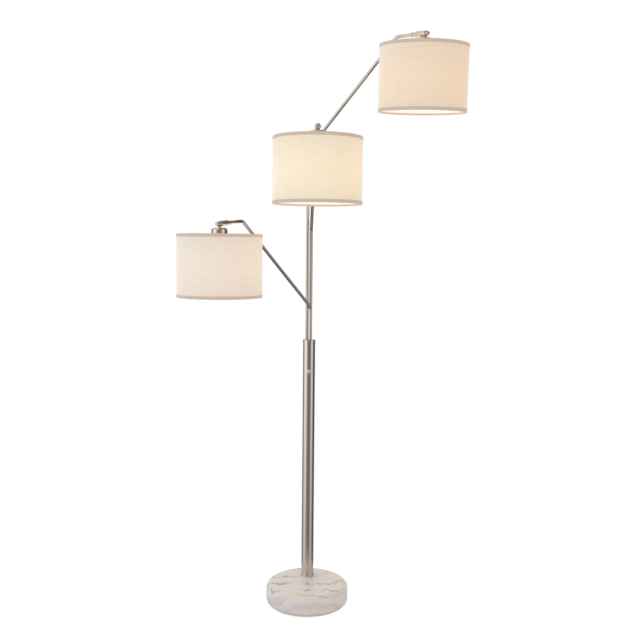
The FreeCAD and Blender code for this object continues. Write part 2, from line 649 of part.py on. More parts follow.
def shade_tapes(arm):
    """The two tapes round the drum's edges."""
    upper = ring(SHADE_RADIUS, CLOTH_RADIUS, SHADE_TOP - TAPE_WIDTH, SHADE_TOP)
    lower = ring(SHADE_RADIUS, CLOTH_RADIUS, SHADE_BOTTOM, SHADE_BOTTOM + TAPE_WIDTH)
    return moved(Part.makeCompound([upper, lower]), hanging_frame(arm))


def bulb(arm):
    """A pear-shaped hollow bulb, screwed up into the holder."""
    top = MOUTH_ROOF - END_GAP
    cap_end = top - BULB_CAP_LENGTH
    throat_end = cap_end - BULB_THROAT_LENGTH
    bottom = top - BULB_LENGTH
    inside = BULB_RADIUS - BULB_WALL
    glass = turned([(0, top, 0), (BULB_CAP_RADIUS, top, 0), (BULB_CAP_RADIUS, cap_end, 0),
                    (BULB_RADIUS, throat_end, BULB_THROAT_LENGTH),
                    (BULB_RADIUS, bottom, BULB_RADIUS - FIT_GAP), (0, bottom, 0)],
                   chords=BULB_CHORD_COUNT)
    hollow = turned([(0, top - BULB_WALL, 0), (BULB_CAP_RADIUS - BULB_WALL, top - BULB_WALL, 0),
                     (BULB_CAP_RADIUS - BULB_WALL, cap_end, 0),
                     (inside, throat_end, BULB_THROAT_LENGTH),
                     (inside, bottom + BULB_WALL, inside - FIT_GAP), (0, bottom + BULB_WALL, 0)],
                    chords=SMALL_CHORD_COUNT)
    return moved(glass.cut(hollow), hanging_frame(arm))


def build():
    """Every node of the lamp by name."""
    nodes = {make.__name__: make() for make in (
        base_stone, base_pad, cord_gland, base_washer, base_nut, tie_rod, pole_foot, foot_plug,
        pole_tube, pole_cap, arm_bushes, arm_carrier, switch_body, switch_nut, switch_knob)}
    for side, arm in ARMS.items():
        for make in (arm_stem, arm_tube, arm_collars, swivel_spindle, swivel_cap, swivel_barrel, neck_nipple,
                     socket_cup, lamp_holder, shade_nut, shade_spider, shade_lower_ring, shade_drum,
                     shade_tapes, bulb):
            nodes[side + "_" + make.__name__] = make(arm)
    return nodes


os.makedirs("parts", exist_ok=True)
for name, shape in build().items():
    shape.exportStep("parts/" + name + ".step")
    print(name, len(shape.Solids), "solid(s), valid", shape.isValid(), "volume", round(shape.Volume, 1))
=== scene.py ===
"""Looks of the tree floor lamp: stone base, nickel pole, three bent arms and their drum shades.

Sizes in the classes are millimetres, as on the drawing. Meshes are made in metres, in the frame of
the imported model: +Z up, -Y to the front, origin at the centre of the base's underside.
"""

from __future__ import annotations

import json
import logging
import math
from dataclasses import dataclass
from enum import Enum

import bmesh
import bpy
import numpy as np
from mathutils import Euler, Matrix

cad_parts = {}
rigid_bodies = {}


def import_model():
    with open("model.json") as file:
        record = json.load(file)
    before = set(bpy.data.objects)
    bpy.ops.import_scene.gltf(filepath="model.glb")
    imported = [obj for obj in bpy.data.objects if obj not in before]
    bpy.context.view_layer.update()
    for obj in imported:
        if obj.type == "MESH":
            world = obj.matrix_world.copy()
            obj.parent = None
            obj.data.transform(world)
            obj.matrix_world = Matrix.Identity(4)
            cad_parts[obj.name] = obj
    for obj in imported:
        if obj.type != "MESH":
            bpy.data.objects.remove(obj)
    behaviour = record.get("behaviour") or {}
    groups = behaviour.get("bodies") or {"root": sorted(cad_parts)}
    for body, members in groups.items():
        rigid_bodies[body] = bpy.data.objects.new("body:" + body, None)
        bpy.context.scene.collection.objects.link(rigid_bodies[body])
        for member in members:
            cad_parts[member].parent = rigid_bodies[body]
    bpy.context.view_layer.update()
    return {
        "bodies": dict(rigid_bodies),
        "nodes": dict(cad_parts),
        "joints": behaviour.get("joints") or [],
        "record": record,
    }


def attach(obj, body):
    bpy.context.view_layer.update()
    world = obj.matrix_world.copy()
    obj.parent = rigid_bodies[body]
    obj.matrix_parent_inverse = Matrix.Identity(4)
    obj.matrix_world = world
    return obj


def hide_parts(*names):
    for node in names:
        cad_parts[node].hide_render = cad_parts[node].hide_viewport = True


LOG = logging.getLogger("tree_lamp")
MM = 0.001
FIT = 0.05  # clearance round a piece that fits into another, in millimetres
POLE_Y, POLE_TOP, BASE_TOP = 70.0, 1023.5, 80.5  # the pole's axis and ends, in millimetres
UV_NAME = "Surface"
DRUM_GLOW = (0.148, 0.195)  # metres from the bulb to the drum's nearest and farthest rows, over which the painted glow fades
SHARP_DEGREES = 32.0  # edges sharper than this stay sharp
FULL_TURN = (0.0, 360.0)
DRUM_COLUMNS, POLE_COLUMNS, SMALL_COLUMNS = 192, 128, 56
Array = np.ndarray
Corner = tuple[float, float, float]
Piece = bpy.types.Object
Socket = bpy.types.NodeSocket


# ---------------------------------------------------------------- outlines and placements

def corner_arc(before: Array, here: Array, after: Array, radius: float, steps: int) -> Array:
    """Points round one corner of an outline, or of a path in space.

    With h half the corner's angle, the arc's centre lies on the bisector at radius / sin(h). With p
    and q the vectors from there to the tangent points and w the angle between them, the arc is
    (sin(w - t) p + sin(t) q) / sin(w) for t from 0 to w.

    Args:
        before: The corner before this one.
        here: The corner itself.
        after: The corner after it.
        radius: The rounding's radius; 0 gives the corner as it is.
        steps: How many chords the rounding has.

    Returns:
        The points, one in each row.
    """
    if radius <= 0:
        return here[None, :]
    back = (before - here) / np.linalg.norm(before - here)
    ahead = (after - here) / np.linalg.norm(after - here)
    half = math.acos(float(np.clip(back @ ahead, -1, 1))) / 2
    centre = here + (back + ahead) / np.linalg.norm(back + ahead) * radius / math.sin(half)
    first = here + back * radius / math.tan(half) - centre
    last = here + ahead * radius / math.tan(half) - centre
    whole = math.pi - 2 * half
    t = np.linspace(0, whole, steps + 1)[:, None]
    return centre + (np.sin(whole - t) * first + np.sin(t) * last) / math.sin(whole)


def rounded(corners: list[Corner], steps: int = 8, closed: bool = True,
            longest: float = 40.0) -> Array:
    """An outline of straight runs and roundings from (radius, height, rounding) corners.

    Args:
        corners: The corners in order, in millimetres.
        steps: Chords in each rounding.
        closed: True for a ring's section, whose last corner joins the first.
        longest: Straight runs are divided until none is longer than this.

    Returns:
        An array of shape (points, 2).
    """
    at_corner = np.array([(r, z) for r, z, _ in corners], float)
    count = len(corners)
    parts = [corner_arc(at_corner[i - 1], at_corner[i], at_corner[(i + 1) % count],
                        radius if closed or 0 < i < count - 1 else 0, steps)
             for i, (_, _, radius) in enumerate(corners)]
    line = np.concatenate(parts + [parts[0][:1]] if closed else parts)
    pieces = [line[:1]]
    for a, b in zip(line[:-1], line[1:]):
        runs = max(1, math.ceil(float(np.linalg.norm(b - a)) / longest))
        pieces.append(a + (b - a) * (np.arange(1, runs + 1) / runs)[:, None])
    return np.concatenate(pieces)


def bent_line(corners: list[Array], radius: float, steps: int = 16) -> Array:
    """A path in space of straight runs joined by arcs that touch both runs."""
    arcs = [corner_arc(*three, radius, steps)
            for three in zip(corners[:-2], corners[1:-1], corners[2:])]
    return np.concatenate([corners[0][None, :], *arcs, corners[-1][None, :]])


def lengths_along(line: Array) -> Array:
    """The distance along a polyline at each of its points."""
    return np.concatenate([[0.0], np.cumsum(np.linalg.norm(np.diff(line, axis=0), axis=1))])


def place(x: float, y: float, z: float) -> Array:
    """A placement that only moves."""
    frame = np.eye(4)
    frame[:3, 3] = (x, y, z)
    return frame


def placed(points: Array, frame: Array) -> Array:
    """Points moved and turned by a 4 by 4 placement."""
    return points @ frame[:3, :3].T + frame[:3, 3]


def rotation(axis: Array | list[float], degrees: float) -> Array:
    """A turn about an axis: I + sin(t) K + (1 - cos(t)) K K, with K the axis's cross matrix."""
    x, y, z = np.asarray(axis, float) / np.linalg.norm(axis)
    cross = np.array([[0, -z, y], [z, 0, -x], [-y, x, 0]])
    angle = math.radians(degrees)
    frame = np.eye(4)
    frame[:3, :3] += math.sin(angle) * cross + (1 - math.cos(angle)) * (cross @ cross)
    return frame


def heading(azimuth: float, slope: float) -> Array:
    """A unit vector: azimuth from +X towards the front, slope downwards, in degrees."""
    a, s = math.radians(azimuth), math.radians(slope)
    return np.array([math.cos(s) * math.cos(a), -math.cos(s) * math.sin(a), -math.sin(s)])


# ---------------------------------------------------------------- surfaces

def put_in_scene(name: str, mesh: bpy.types.Mesh) -> Piece:
    """Put a mesh in the scene as a smooth piece whose hard corners stay sharp."""
    mesh.name = name
    mesh.polygons.foreach_set("use_smooth", np.ones(len(mesh.polygons), bool))
    mesh.set_sharp_from_angle(angle=math.radians(SHARP_DEGREES))
    mesh.update()
    piece = bpy.data.objects.new(name, mesh)
    bpy.context.scene.collection.objects.link(piece)
    return piece


def surface(name: str, points: Array, uv: Array) -> Piece:
    """A mesh from a grid of points, with its seams and poles closed.

    Vertex (i, j) of the grid joins (i + 1, j), (i + 1, j + 1) and (i, j + 1) in one face. Rows or
    columns that meet are then merged, faces with no width are dropped and normals point outwards.

    Args:
        name: The piece's name.
        points: Positions of shape (rows, columns, 3), in millimetres.
        uv: Places on the surface of shape (rows, columns, 2), in millimetres.

    Returns:
        The new object, at the origin.
    """
    rows, cols = points.shape[:2]
    index = np.arange(rows * cols).reshape(rows, cols)
    faces = np.stack([index[:-1, :-1], index[1:, :-1], index[1:, 1:], index[:-1, 1:]], -1)
    faces = faces.reshape(-1, 4)
    mesh = bpy.data.meshes.new(name)
    mesh.from_pydata((points.reshape(-1, 3) * MM).tolist(), [], faces.tolist())
    layer = mesh.uv_layers.new(name=UV_NAME)
    spread = (uv.reshape(-1, 2) * MM)[faces.ravel()].astype(np.float32)
    layer.data.foreach_set("uv", spread.ravel())
    work = bmesh.new()
    work.from_mesh(mesh)
    bmesh.ops.remove_doubles(work, verts=work.verts, dist=1e-7)
    bmesh.ops.dissolve_degenerate(work, edges=work.edges, dist=1e-8)
    bmesh.ops.recalc_face_normals(work, faces=work.faces)
    work.to_mesh(mesh)
    work.free()
    return put_in_scene(name, mesh)


def joined(name: str, pieces: list[Piece]) -> Piece:
    """Several pieces of one material as one object, their meshes side by side."""
    work = bmesh.new()
    for piece in pieces:
        work.from_mesh(piece.data)
        bpy.data.objects.remove(piece, do_unlink=True)
    mesh = bpy.data.meshes.new(name)
    work.to_mesh(mesh)
    work.free()
    return put_in_scene(name, mesh)


def cut(piece: Piece, cutters: list[Piece]) -> Piece:
    """Cut the cutters' space out of a piece, then drop the cutters."""
    bpy.context.view_layer.objects.active = piece
    for cutter in cutters:
        tool = piece.modifiers.new("cut", "BOOLEAN")
        tool.operation, tool.solver, tool.object = "DIFFERENCE", "EXACT", cutter
        bpy.ops.object.modifier_apply(modifier=tool.name)
        bpy.data.objects.remove(cutter, do_unlink=True)
    piece.data.set_sharp_from_angle(angle=math.radians(SHARP_DEGREES))
    return piece


def turned(name: str, line: Array, frame: Array, segments: int, wave: Array | None = None,
           span: tuple[float, float] = FULL_TURN) -> Piece:
    """A turned piece: an outline swept round the local Z axis.

    At angle a the outline's point (r, z) goes to (r cos a, r sin a, z). With a wave, each radius is
    multiplied by one plus the wave's value there, which cuts flutes. With a span short of a full
    turn, both end sections are closed towards their middle.

    Args:
        name: The piece's name.
        line: The outline, (radius, height) in millimetres.
        frame: Placement of the local axes, 4 by 4.
        segments: Columns round the circle.
        wave: Optional factor, broadcast over (points, segments + 1).
        span: First and last angle in degrees.

    Returns:
        The new object.
    """
    angle = np.radians(np.linspace(*span, segments + 1))[None, :]
    radius = line[:, :1] * (np.ones_like(angle) if wave is None else 1 + wave)
    height = np.broadcast_to(line[:, 1:], radius.shape)
    points = np.stack([radius * np.cos(angle), radius * np.sin(angle), height], -1)
    uv = np.stack(np.broadcast_arrays(angle * line[:, 0].max(), lengths_along(line)[:, None]), -1)
    if span != FULL_TURN:
        first, last = (np.broadcast_to(points[:, i:i + 1].mean(0, keepdims=True),
                                       points[:, :1].shape) for i in (0, segments))
        points = np.concatenate([first, points, last], 1)
        uv = np.concatenate([uv[:, :1], uv, uv[:, -1:]], 1)
    return surface(name, placed(points, frame), uv)


def revolved(name: str, corners: list[Corner], frame: Array, segments: int, steps: int = 8,
             closed: bool = True, longest: float = 40.0) -> Piece:
    """A turned piece from its outline's corners; the arguments are those of turned and rounded."""
    return turned(name, rounded(corners, steps, closed, longest), frame, segments)


def bar(name: str, path: Array, outer: float, inner: float = 0.0, segments: int = 40,
        lip: float = 0.2) -> Piece:
    """A round bar along a path, or a tube if it has a bore, with a small chamfer at each end.

    Each row of the section is (station, radius, shift): which point of the path, how wide, and how
    far ahead of that point. Each station's sideways vector is the last one's less its share along
    the new direction, so the circles don't twist.

    Args:
        name: The piece's name.
        path: Centre line of shape (n, 3), in millimetres.
        outer: Outer radius.
        inner: Bore radius, 0 for a solid bar.
        segments: Columns round the section.
        lip: Width of the end chamfers.

    Returns:
        The new object.
    """
    last = len(path) - 1
    outside = [(0, outer - lip, 0), (0, outer, lip), *((i, outer, 0) for i in range(1, last)),
               (last, outer, -lip), (last, outer - lip, 0)]
    inside = [(i, inner, 0) for i in range(last, -1, -1)]
    rows = outside + inside + outside[:1] if inner > 0 else [(0, 0, 0), *outside, (last, 0, 0)]
    station, radius, shift = np.array(rows, float).T
    station = station.astype(int)
    runs = np.diff(path, axis=0)
    runs /= np.linalg.norm(runs, axis=1)[:, None]
    tangent = np.concatenate([runs[:1], runs[:-1] + runs[1:], runs[-1:]])
    tangent /= np.linalg.norm(tangent, axis=1)[:, None]
    across = [np.cross(tangent[0], [0.31, 0.95, 0.05])]  # any direction that no path starts in
    for direction in tangent:
        side = across[-1] - direction * (across[-1] @ direction)
        across.append(side / np.linalg.norm(side))
    side = np.array(across[1:])
    other = np.cross(tangent, side)
    angle = np.linspace(0, 2 * math.pi, segments + 1)[None, :, None]
    ring = np.cos(angle) * side[station][:, None] + np.sin(angle) * other[station][:, None]
    middle = path[station] + tangent[station] * shift[:, None]
    points = middle[:, None, :] + ring * radius[:, None, None]
    along = lengths_along(path)[station] + shift
    uv = np.stack(np.broadcast_arrays(angle[..., 0] * radius.max(), along[:, None]), -1)
    return surface(name, points, uv)


def block(name: str, size: tuple[float, float, float], frame: Array, edge: float) -> Piece:
    """A bar of oblong section with rounded edges, standing on its frame's XY plane.

    A quarter circle of the edge's radius is carried round each corner in plan and over the rims:
    the point is core(a) + rim(a) r(t), at height h(t), with r and h from the same quarter circles.

    Args:
        name: The piece's name.
        size: Length along x, y and z.
        frame: Placement, 4 by 4.
        edge: Radius of all its edges.

    Returns:
        The new object.
    """
    corner_steps, rim_steps = 8, 5
    half_x, half_y, height = size[0] / 2 - edge, size[1] / 2 - edge, size[2]
    turn = (np.arange(4 * corner_steps) + 0.5) * math.pi / (2 * corner_steps)
    rim = np.stack([np.cos(turn), np.sin(turn)], 1)
    core = np.sign(rim) * (half_x, half_y)
    up = np.radians(np.linspace(0, 90, rim_steps + 1))
    rise = np.concatenate([[(0.0, 0.0)], np.stack([edge * np.sin(up), edge - edge * np.cos(up)], 1),
                           np.stack([edge * np.cos(up), height - edge + edge * np.sin(up)], 1),
                           [(0.0, height)]])
    keep = np.ones(len(rise))
    keep[[0, -1]] = 0
    flat = core[None] * keep[:, None, None] + rim[None] * rise[:, 0][:, None, None]
    level = np.broadcast_to(rise[:, 1][:, None, None], flat.shape[:2] + (1,))
    points = np.concatenate([flat, level], -1)
    points = np.concatenate([points, points[:, :1]], 1)
    return surface(name, placed(points, frame), points[..., [0, 2]])


# ---------------------------------------------------------------- node trees and finishes

def linear(hex_colour: str) -> tuple[float, float, float, float]:
    """An sRGB hex colour as linear red, green, blue and 1."""
    srgb = np.array([int(hex_colour[i:i + 2], 16) for i in (1, 3, 5)]) / 255
    value = np.where(srgb <= 0.04045, srgb / 12.92, ((srgb + 0.055) / 1.055) ** 2.4)
    return (*value.tolist(), 1.0)


class Graph:
    """A node tree of a material or of the world, while it is put together."""

    def __init__(self, tree: bpy.types.NodeTree) -> None:
        """Start with an empty tree."""
        self.tree = tree
        tree.nodes.clear()

    def add(self, kind: str, settings: dict | None = None, out: str = "",
            **inputs: object) -> Socket | None:
        """Add a node with its settings and links.

        Args:
            kind: The node's type without "ShaderNode".
            settings: Attributes to set; "ramp" gives a colour ramp's (position, colour) stops.
            out: Name of the output to return; by default the first one in use.
            inputs: A socket to link or a value to set, by input name with _ for each space, or by
                number as i0, i1 and so on. A text value is an sRGB hex colour.

        Returns:
            The output socket, or None for an output node.
        """
        node = self.tree.nodes.new("ShaderNode" + kind)
        for key, value in (settings or {}).items():
            if key != "ramp":
                setattr(node, key, value)
                continue
            while len(node.color_ramp.elements) < len(value):
                node.color_ramp.elements.new(1.0)
            for stop, (position, colour) in zip(node.color_ramp.elements, value):
                stop.position = position
                stop.color = linear(colour) if isinstance(colour, str) else (*[colour] * 3, 1)
        for key, value in inputs.items():
            in_use = [socket for socket in node.inputs if socket.enabled]
            named = [socket for socket in in_use if socket.name == key.replace("_", " ")]
            socket = named[0] if named else in_use[int(key[1:])]
            if isinstance(value, Socket):
                self.tree.links.new(value, socket)
            else:
                socket.default_value = linear(value) if isinstance(value, str) else value
        if out:
            return node.outputs[out]
        return next((socket for socket in node.outputs if socket.enabled), None)

    def spot(self) -> Socket:
        """The point's place in its piece, in metres."""
        return self.add("TexCoord", out="Object")

    def uv(self) -> Socket:
        """The point's place along the surface, in metres."""
        return self.add("UVMap", {"uv_map": UV_NAME})

    def math(self, operation: str, *values: object, clamp: bool = False) -> Socket:
        """A sum on numbers or sockets."""
        inputs = {f"i{i}": value for i, value in enumerate(values)}
        return self.add("Math", {"operation": operation, "use_clamp": clamp}, **inputs)

    def vector(self, operation: str, *values: object, **inputs: object) -> Socket:
        """A sum on vectors."""
        inputs.update({f"i{i}": value for i, value in enumerate(values)})
        return self.add("VectorMath", {"operation": operation}, **inputs)

    def mix(self, factor: object, a: object, b: object, blend: str = "MIX") -> Socket:
        """Colour a, going over to b as the factor goes from 0 to 1."""
        return self.add("Mix", {"data_type": "RGBA", "blend_type": blend}, Factor=factor, A=a, B=b)

    def span(self, value: Socket, low: float = 0.0, high: float = 1.0, start: float = 0.0,
             stop: float = 1.0) -> Socket:
        """From low to high as the value goes from start to stop, and no further."""
        return self.add("MapRange", Value=value, To_Min=low, To_Max=high, From_Min=start,
                        From_Max=stop)

    def scaled(self, vector: Socket, x: float, y: float, z: float = 1.0) -> Socket:
        """A vector stretched along each axis."""
        return self.add("Mapping", Vector=vector, Scale=(x, y, z))

    def noise(self, vector: Socket, scale: float = 1.0, out: str = "", **inputs: float) -> Socket:
        """Cloudy noise with this many cells in a unit."""
        return self.add("TexNoise", out=out, Vector=vector, Scale=scale, **inputs)

    def wave(self, vector: Socket, scale: float, along: str, **inputs: float) -> Socket:
        """Sine bands that follow one another along an axis."""
        return self.add("TexWave", {"bands_direction": along}, Vector=vector, Scale=scale, **inputs)

    def ramp(self, factor: Socket, *stops: tuple[float, str | float]) -> Socket:
        """A colour, or a grey, from (position, colour) stops."""
        return self.add("ValToRGB", {"ramp": stops}, Fac=factor)

    def tone(self, colour: str, by: Socket, low: float, high: float) -> Socket:
        """A colour whose value is multiplied by low to high."""
        return self.add("HueSaturation", Color=colour, Value=self.span(by, low, high))

    def bump(self, height: Socket, distance: float, strength: float) -> Socket:
        """Relief of this depth in metres."""
        return self.add("Bump", Height=height, Distance=distance, Strength=strength)

    def fading(self, centre: Corner, near: float, far: float, lit: float, left: float) -> Socket:
        """Light falling from lit, at the distance near from a centre, to lit times left at far."""
        return self.span(self.vector("DISTANCE", self.spot(), centre), lit, lit * left, near, far)

    def seen(self) -> Socket:
        """1 for rays from the camera, straight or through glass, and 0 for others."""
        ray = self.add("LightPath", out="Is Camera Ray")
        return self.math("MAXIMUM", ray, ray.node.outputs["Is Transmission Ray"])


@dataclass(frozen=True)
class Finish:
    """One material. Subclasses say what it is and how its nodes go together."""

    name: str

    def build(self, graph: Graph) -> Socket:
        """Add the nodes and return the surface shader."""
        raise NotImplementedError

    def material(self) -> bpy.types.Material:
        """The finish as a Blender material, made on first use."""
        found = bpy.data.materials.get(self.name)
        if found is not None:
            return found
        made = bpy.data.materials.new(self.name)
        made.use_nodes = True
        graph = Graph(made.node_tree)
        graph.add("OutputMaterial", Surface=self.build(graph))
        return made

    def dress(self, *pieces: Piece) -> None:
        """Give these pieces, or carried-over nodes, this finish."""
        for piece in pieces:
            piece.data.materials.clear()
            piece.data.materials.append(self.material())


@dataclass(frozen=True)
class PolishedMarble(Finish):
    """Beige marble, sawn, honed and polished: a pale pinkish ground, cloudy bands and fine tan
    veins that run across the block, most of them near the top, under an even gloss. Towards the
    top the ground is painted darker and warmer: a painted shade on the top face."""

    ground: str = "#F2E5E3"
    pale: str = "#F5ECEA"
    band: str = "#E9DBD7"
    top_painted_shade: str = "#E3DACC"
    vein: str = "#A5876C"
    hairline: str = "#F2EDE8"
    near_top_span: tuple[float, float] = (0.056, 0.078)  # heights where the top's painted shade and its extra veins begin and are full

    def build(self, graph: Graph) -> Socket:
        """Warped planes that run level in x give bands, veins and hairlines on top and side."""
        spot = graph.spot()
        # The beds dip towards the front, so that the same veins cross the top and the side.
        tilted = graph.add("Mapping", Vector=spot,
                           Rotation=(math.radians(32), math.radians(5), 0.15))
        sway = graph.noise(tilted, 11.0, "Color", Detail=5.0, Roughness=0.6)
        centred = graph.vector("SUBTRACT", sway, (0.5, 0.5, 0.5))
        warped = graph.vector("ADD", tilted, graph.vector("SCALE", centred, Scale=0.07))
        bands = graph.wave(warped, 6.0, "Z", Distortion=4.0, Detail=3.0, Detail_Scale=1.5)
        colour = graph.ramp(bands, (0.0, self.band), (0.4, self.ground), (0.75, self.pale),
                            (1.0, self.ground))
        wavy = graph.vector("ADD", spot, graph.vector("SCALE", centred, Scale=0.03))
        # Towards the top the ground goes over to a darker, warmer colour: a painted shade on the
        # top face. The veins gather near the top too.
        start, full = self.near_top_span
        near_top = graph.add("MapRange", {"interpolation_type": "SMOOTHSTEP"}, From_Min=start,
                        From_Max=full, Value=graph.add("SeparateXYZ", out="Z", Vector=wavy))
        warm = graph.mix(graph.math("MULTIPLY", near_top, 0.75), colour, self.top_painted_shade)
        # Veins 2-5 mm wide every 37 mm or so, broken up into stretches.
        veins = graph.wave(warped, 8.5, "Z", Distortion=7.0, Detail=4.0, Detail_Scale=1.1,
                           Phase_Offset=2.1)
        line = graph.ramp(veins, (0.0, 0.85), (0.03, 0.55), (0.12, 0.0))
        part = graph.span(graph.noise(tilted, 14.0, Detail=2.0), 0.1, 1.0, 0.4, 0.6)
        share = graph.math("MULTIPLY", graph.math("MULTIPLY", line, part),
                           graph.span(near_top, 0.22, 0.95))
        veined = graph.mix(share, warm, self.vein)
        fine = graph.wave(warped, 26.0, "Z", Distortion=12.0, Detail=5.0, Detail_Scale=2.0)
        lined = graph.mix(graph.ramp(fine, (0.0, 0.5), (0.06, 0.0)), veined, self.hairline)
        # Crystal grain, 1 mm in the stone, drawn at 4 mm so that it shows.
        grain = graph.ramp(graph.noise(spot, 250.0, Detail=2.0), (0.3, 0.95), (0.7, 1.0))
        return graph.add("BsdfPrincipled", Base_Color=graph.mix(1.0, lined, grain, "MULTIPLY"),
                         Roughness=graph.span(graph.noise(spot, 60.0), 0.2, 0.32), IOR=1.49,
                         Normal=graph.bump(share, 0.0001, 0.3))


@dataclass(frozen=True)
class BrushedNickel(Finish):
    """Steel plated with nickel and brushed on a lathe: warm grey, with fine marks round the piece
    that smear reflections along it and keep them narrow across it."""

    colour: str = "#D7D3CE"
    shade: str = "#C9C5C0"
    roughness: float = 0.17
    stretch: float = 0.6
    marks_per_metre: tuple[float, float] = (60.0, 1500.0)  # round the piece and along it

    def build(self, graph: Graph) -> Socket:
        """Noise stretched along the brushing varies tone, roughness and, faintly, the relief."""
        # Marks 0.05 mm apart on the real piece, drawn at 0.7 mm.
        marks = graph.noise(graph.scaled(graph.uv(), *self.marks_per_metre), Detail=3.0,
                            Roughness=0.6)
        cloud = graph.span(graph.noise(graph.spot(), 25.0), -0.25, 0.35)
        tone = graph.mix(graph.math("ADD", marks, cloud, clamp=True), self.shade, self.colour)
        rough = graph.span(marks, self.roughness * 0.85, self.roughness * 1.2)
        round_it = graph.add("Tangent", {"direction_type": "UV_MAP", "uv_map": UV_NAME})
        return graph.add("BsdfPrincipled", Base_Color=tone, Metallic=1.0, Roughness=rough,
                         Anisotropic=self.stretch, Anisotropic_Rotation=0.25, Tangent=round_it,
                         Normal=graph.bump(marks, 0.00002, 0.2))


@dataclass(frozen=True)
class SatinMetal(Finish):
    """A small cut or pressed metal piece, plated and left satin: even, with soft highlights."""

    colour: str = "#B9BCC0"
    roughness: float = 0.36

    def build(self, graph: Graph) -> Socket:
        """Fine pitting varies tone and roughness."""
        spot = graph.spot()
        pits = graph.noise(spot, 900.0)
        rough = graph.span(graph.noise(spot, 160.0), self.roughness * 0.8, self.roughness * 1.2)
        return graph.add("BsdfPrincipled", Base_Color=graph.tone(self.colour, pits, 0.9, 1.06),
                         Metallic=1.0, Roughness=rough, Normal=graph.bump(pits, 0.00002, 0.3))


@dataclass(frozen=True)
class SlubLinen(Finish):
    """Plain-woven linen glued on a clear sheet: two crossing sets of uneven threads, some thicker
    for a hand's width, with a pale bloom where it turns away. A painted glow, emission on the
    cloth, stands in for the lamp's warm light through it, most where the bulb is nearest."""

    glow: str
    lit: float
    centre: Corner
    warp: str = "#E4DCD1"
    weft: str = "#DDD3C6"
    slub: str = "#CFC2B1"
    threads_mm: float = 2.4

    def build(self, graph: Graph) -> Socket:
        """Two waves at right angles, warped by noise, weave; stretched noises make the slubs."""
        uv = graph.uv()
        wander = graph.vector("SCALE", graph.noise(uv, 70.0, "Color"), Scale=0.004)
        spot = graph.vector("ADD", uv, wander)
        # Threads lie 0.5 mm apart in the real cloth and are drawn 2.4 mm apart so that they show.
        waves = 2 * math.pi / (20 * self.threads_mm * MM)
        woven = graph.math("MAXIMUM", graph.wave(spot, waves, "X"), graph.wave(spot, waves, "Y"))
        # Slubs 6 mm apart and 60-120 mm long, on both sets of threads.
        upright = graph.noise(graph.scaled(uv, 170.0, 9.0), Detail=2.0)
        level = graph.noise(graph.scaled(uv, 11.0, 200.0), Detail=2.0)
        slubs = graph.math("ADD", graph.span(upright, start=0.5, stop=0.75),
                           graph.span(level, start=0.52, stop=0.75))
        cloth = graph.mix(graph.math("MULTIPLY", slubs, 0.18, clamp=True),
                          graph.mix(woven, self.weft, self.warp), self.slub)
        # Painted glow: emission standing in for the bulb's light through the cloth, falling off
        # with the distance from the bulb.
        near = graph.fading(self.centre, *DRUM_GLOW, self.lit, 0.55)
        strength = graph.math("MULTIPLY", near, graph.span(slubs, 1.02, 0.93))
        relief = graph.math("ADD", woven, slubs)
        return graph.add("BsdfPrincipled", Base_Color=cloth, Roughness=0.85,
                         Specular_IOR_Level=0.2, Sheen_Weight=0.9, Sheen_Roughness=0.35,
                         Emission_Color=self.glow, Emission_Strength=strength,
                         Normal=graph.bump(relief, 0.0003, 0.18))


@dataclass(frozen=True)
class CottonTape(Finish):
    """Cotton tape rolled over the shade's edge: a tight, thick weave that lets little light
    through, so it reads as a darker beige line. A faint painted glow, emission, stands in for that
    light."""

    colour: str = "#D7C9BB"
    dark: str = "#C9BAAA"
    glow: str = "#FFB27A"
    lit: float = 0.08

    def build(self, graph: Graph) -> Socket:
        """A fine rib across the tape, with an uneven tone along it, and the faint painted glow."""
        uv = graph.uv()
        # Ribs 0.4 mm apart on the real tape, drawn at 1.6 mm.
        ribs = graph.wave(uv, 196.0, "X", Distortion=1.0)
        uneven = graph.math("ADD", ribs, graph.noise(graph.scaled(uv, 1.0, 6.0), 60.0))
        tone = graph.mix(graph.math("MULTIPLY", uneven, 0.5), self.dark, self.colour)
        return graph.add("BsdfPrincipled", Base_Color=tone, Roughness=0.8, Specular_IOR_Level=0.2,
                         Sheen_Weight=0.2, Emission_Color=self.glow, Emission_Strength=self.lit,
                         Normal=graph.bump(ribs, 0.0002, 0.4))


@dataclass(frozen=True)
class StyreneLiner(Finish):
    """White styrene sheet, cut and rolled: the smooth backing that the cloth is glued to. A painted
    glow, emission standing in for the bulb's light close by, makes it the brightest thing inside
    the shade."""

    centre: Corner
    colour: str = "#F6F1E8"
    cool: str = "#EFE8DC"
    glow: str = "#FFFAF5"
    lit: float = 0.32

    def build(self, graph: Graph) -> Socket:
        """A faint orange peel, and a painted glow for the bulb's light, falling off with distance.
        """
        peel = graph.noise(graph.spot(), 300.0)
        near = graph.fading(self.centre, *DRUM_GLOW, self.lit, 0.6)
        return graph.add("BsdfPrincipled", Base_Color=graph.mix(peel, self.colour, self.cool),
                         Roughness=0.42, IOR=1.55, Emission_Color=self.glow,
                         Emission_Strength=near, Normal=graph.bump(peel, 0.00004, 0.4))


@dataclass(frozen=True)
class WhiteEnamel(Finish):
    """Steel wire dipped in white stoving enamel: glossy, slightly uneven, thicker at the joints."""

    colour: str = "#EDE8DF"

    def build(self, graph: Graph) -> Socket:
        """Slow waves in the coat and a small change of tone."""
        runs = graph.noise(graph.spot(), 220.0)
        return graph.add("BsdfPrincipled", Base_Color=graph.tone(self.colour, runs, 0.93, 1.03),
                         Roughness=graph.span(runs, 0.22, 0.38), IOR=1.5, Coat_Weight=0.3,
                         Coat_Roughness=0.12, Normal=graph.bump(runs, 0.0001, 0.3))


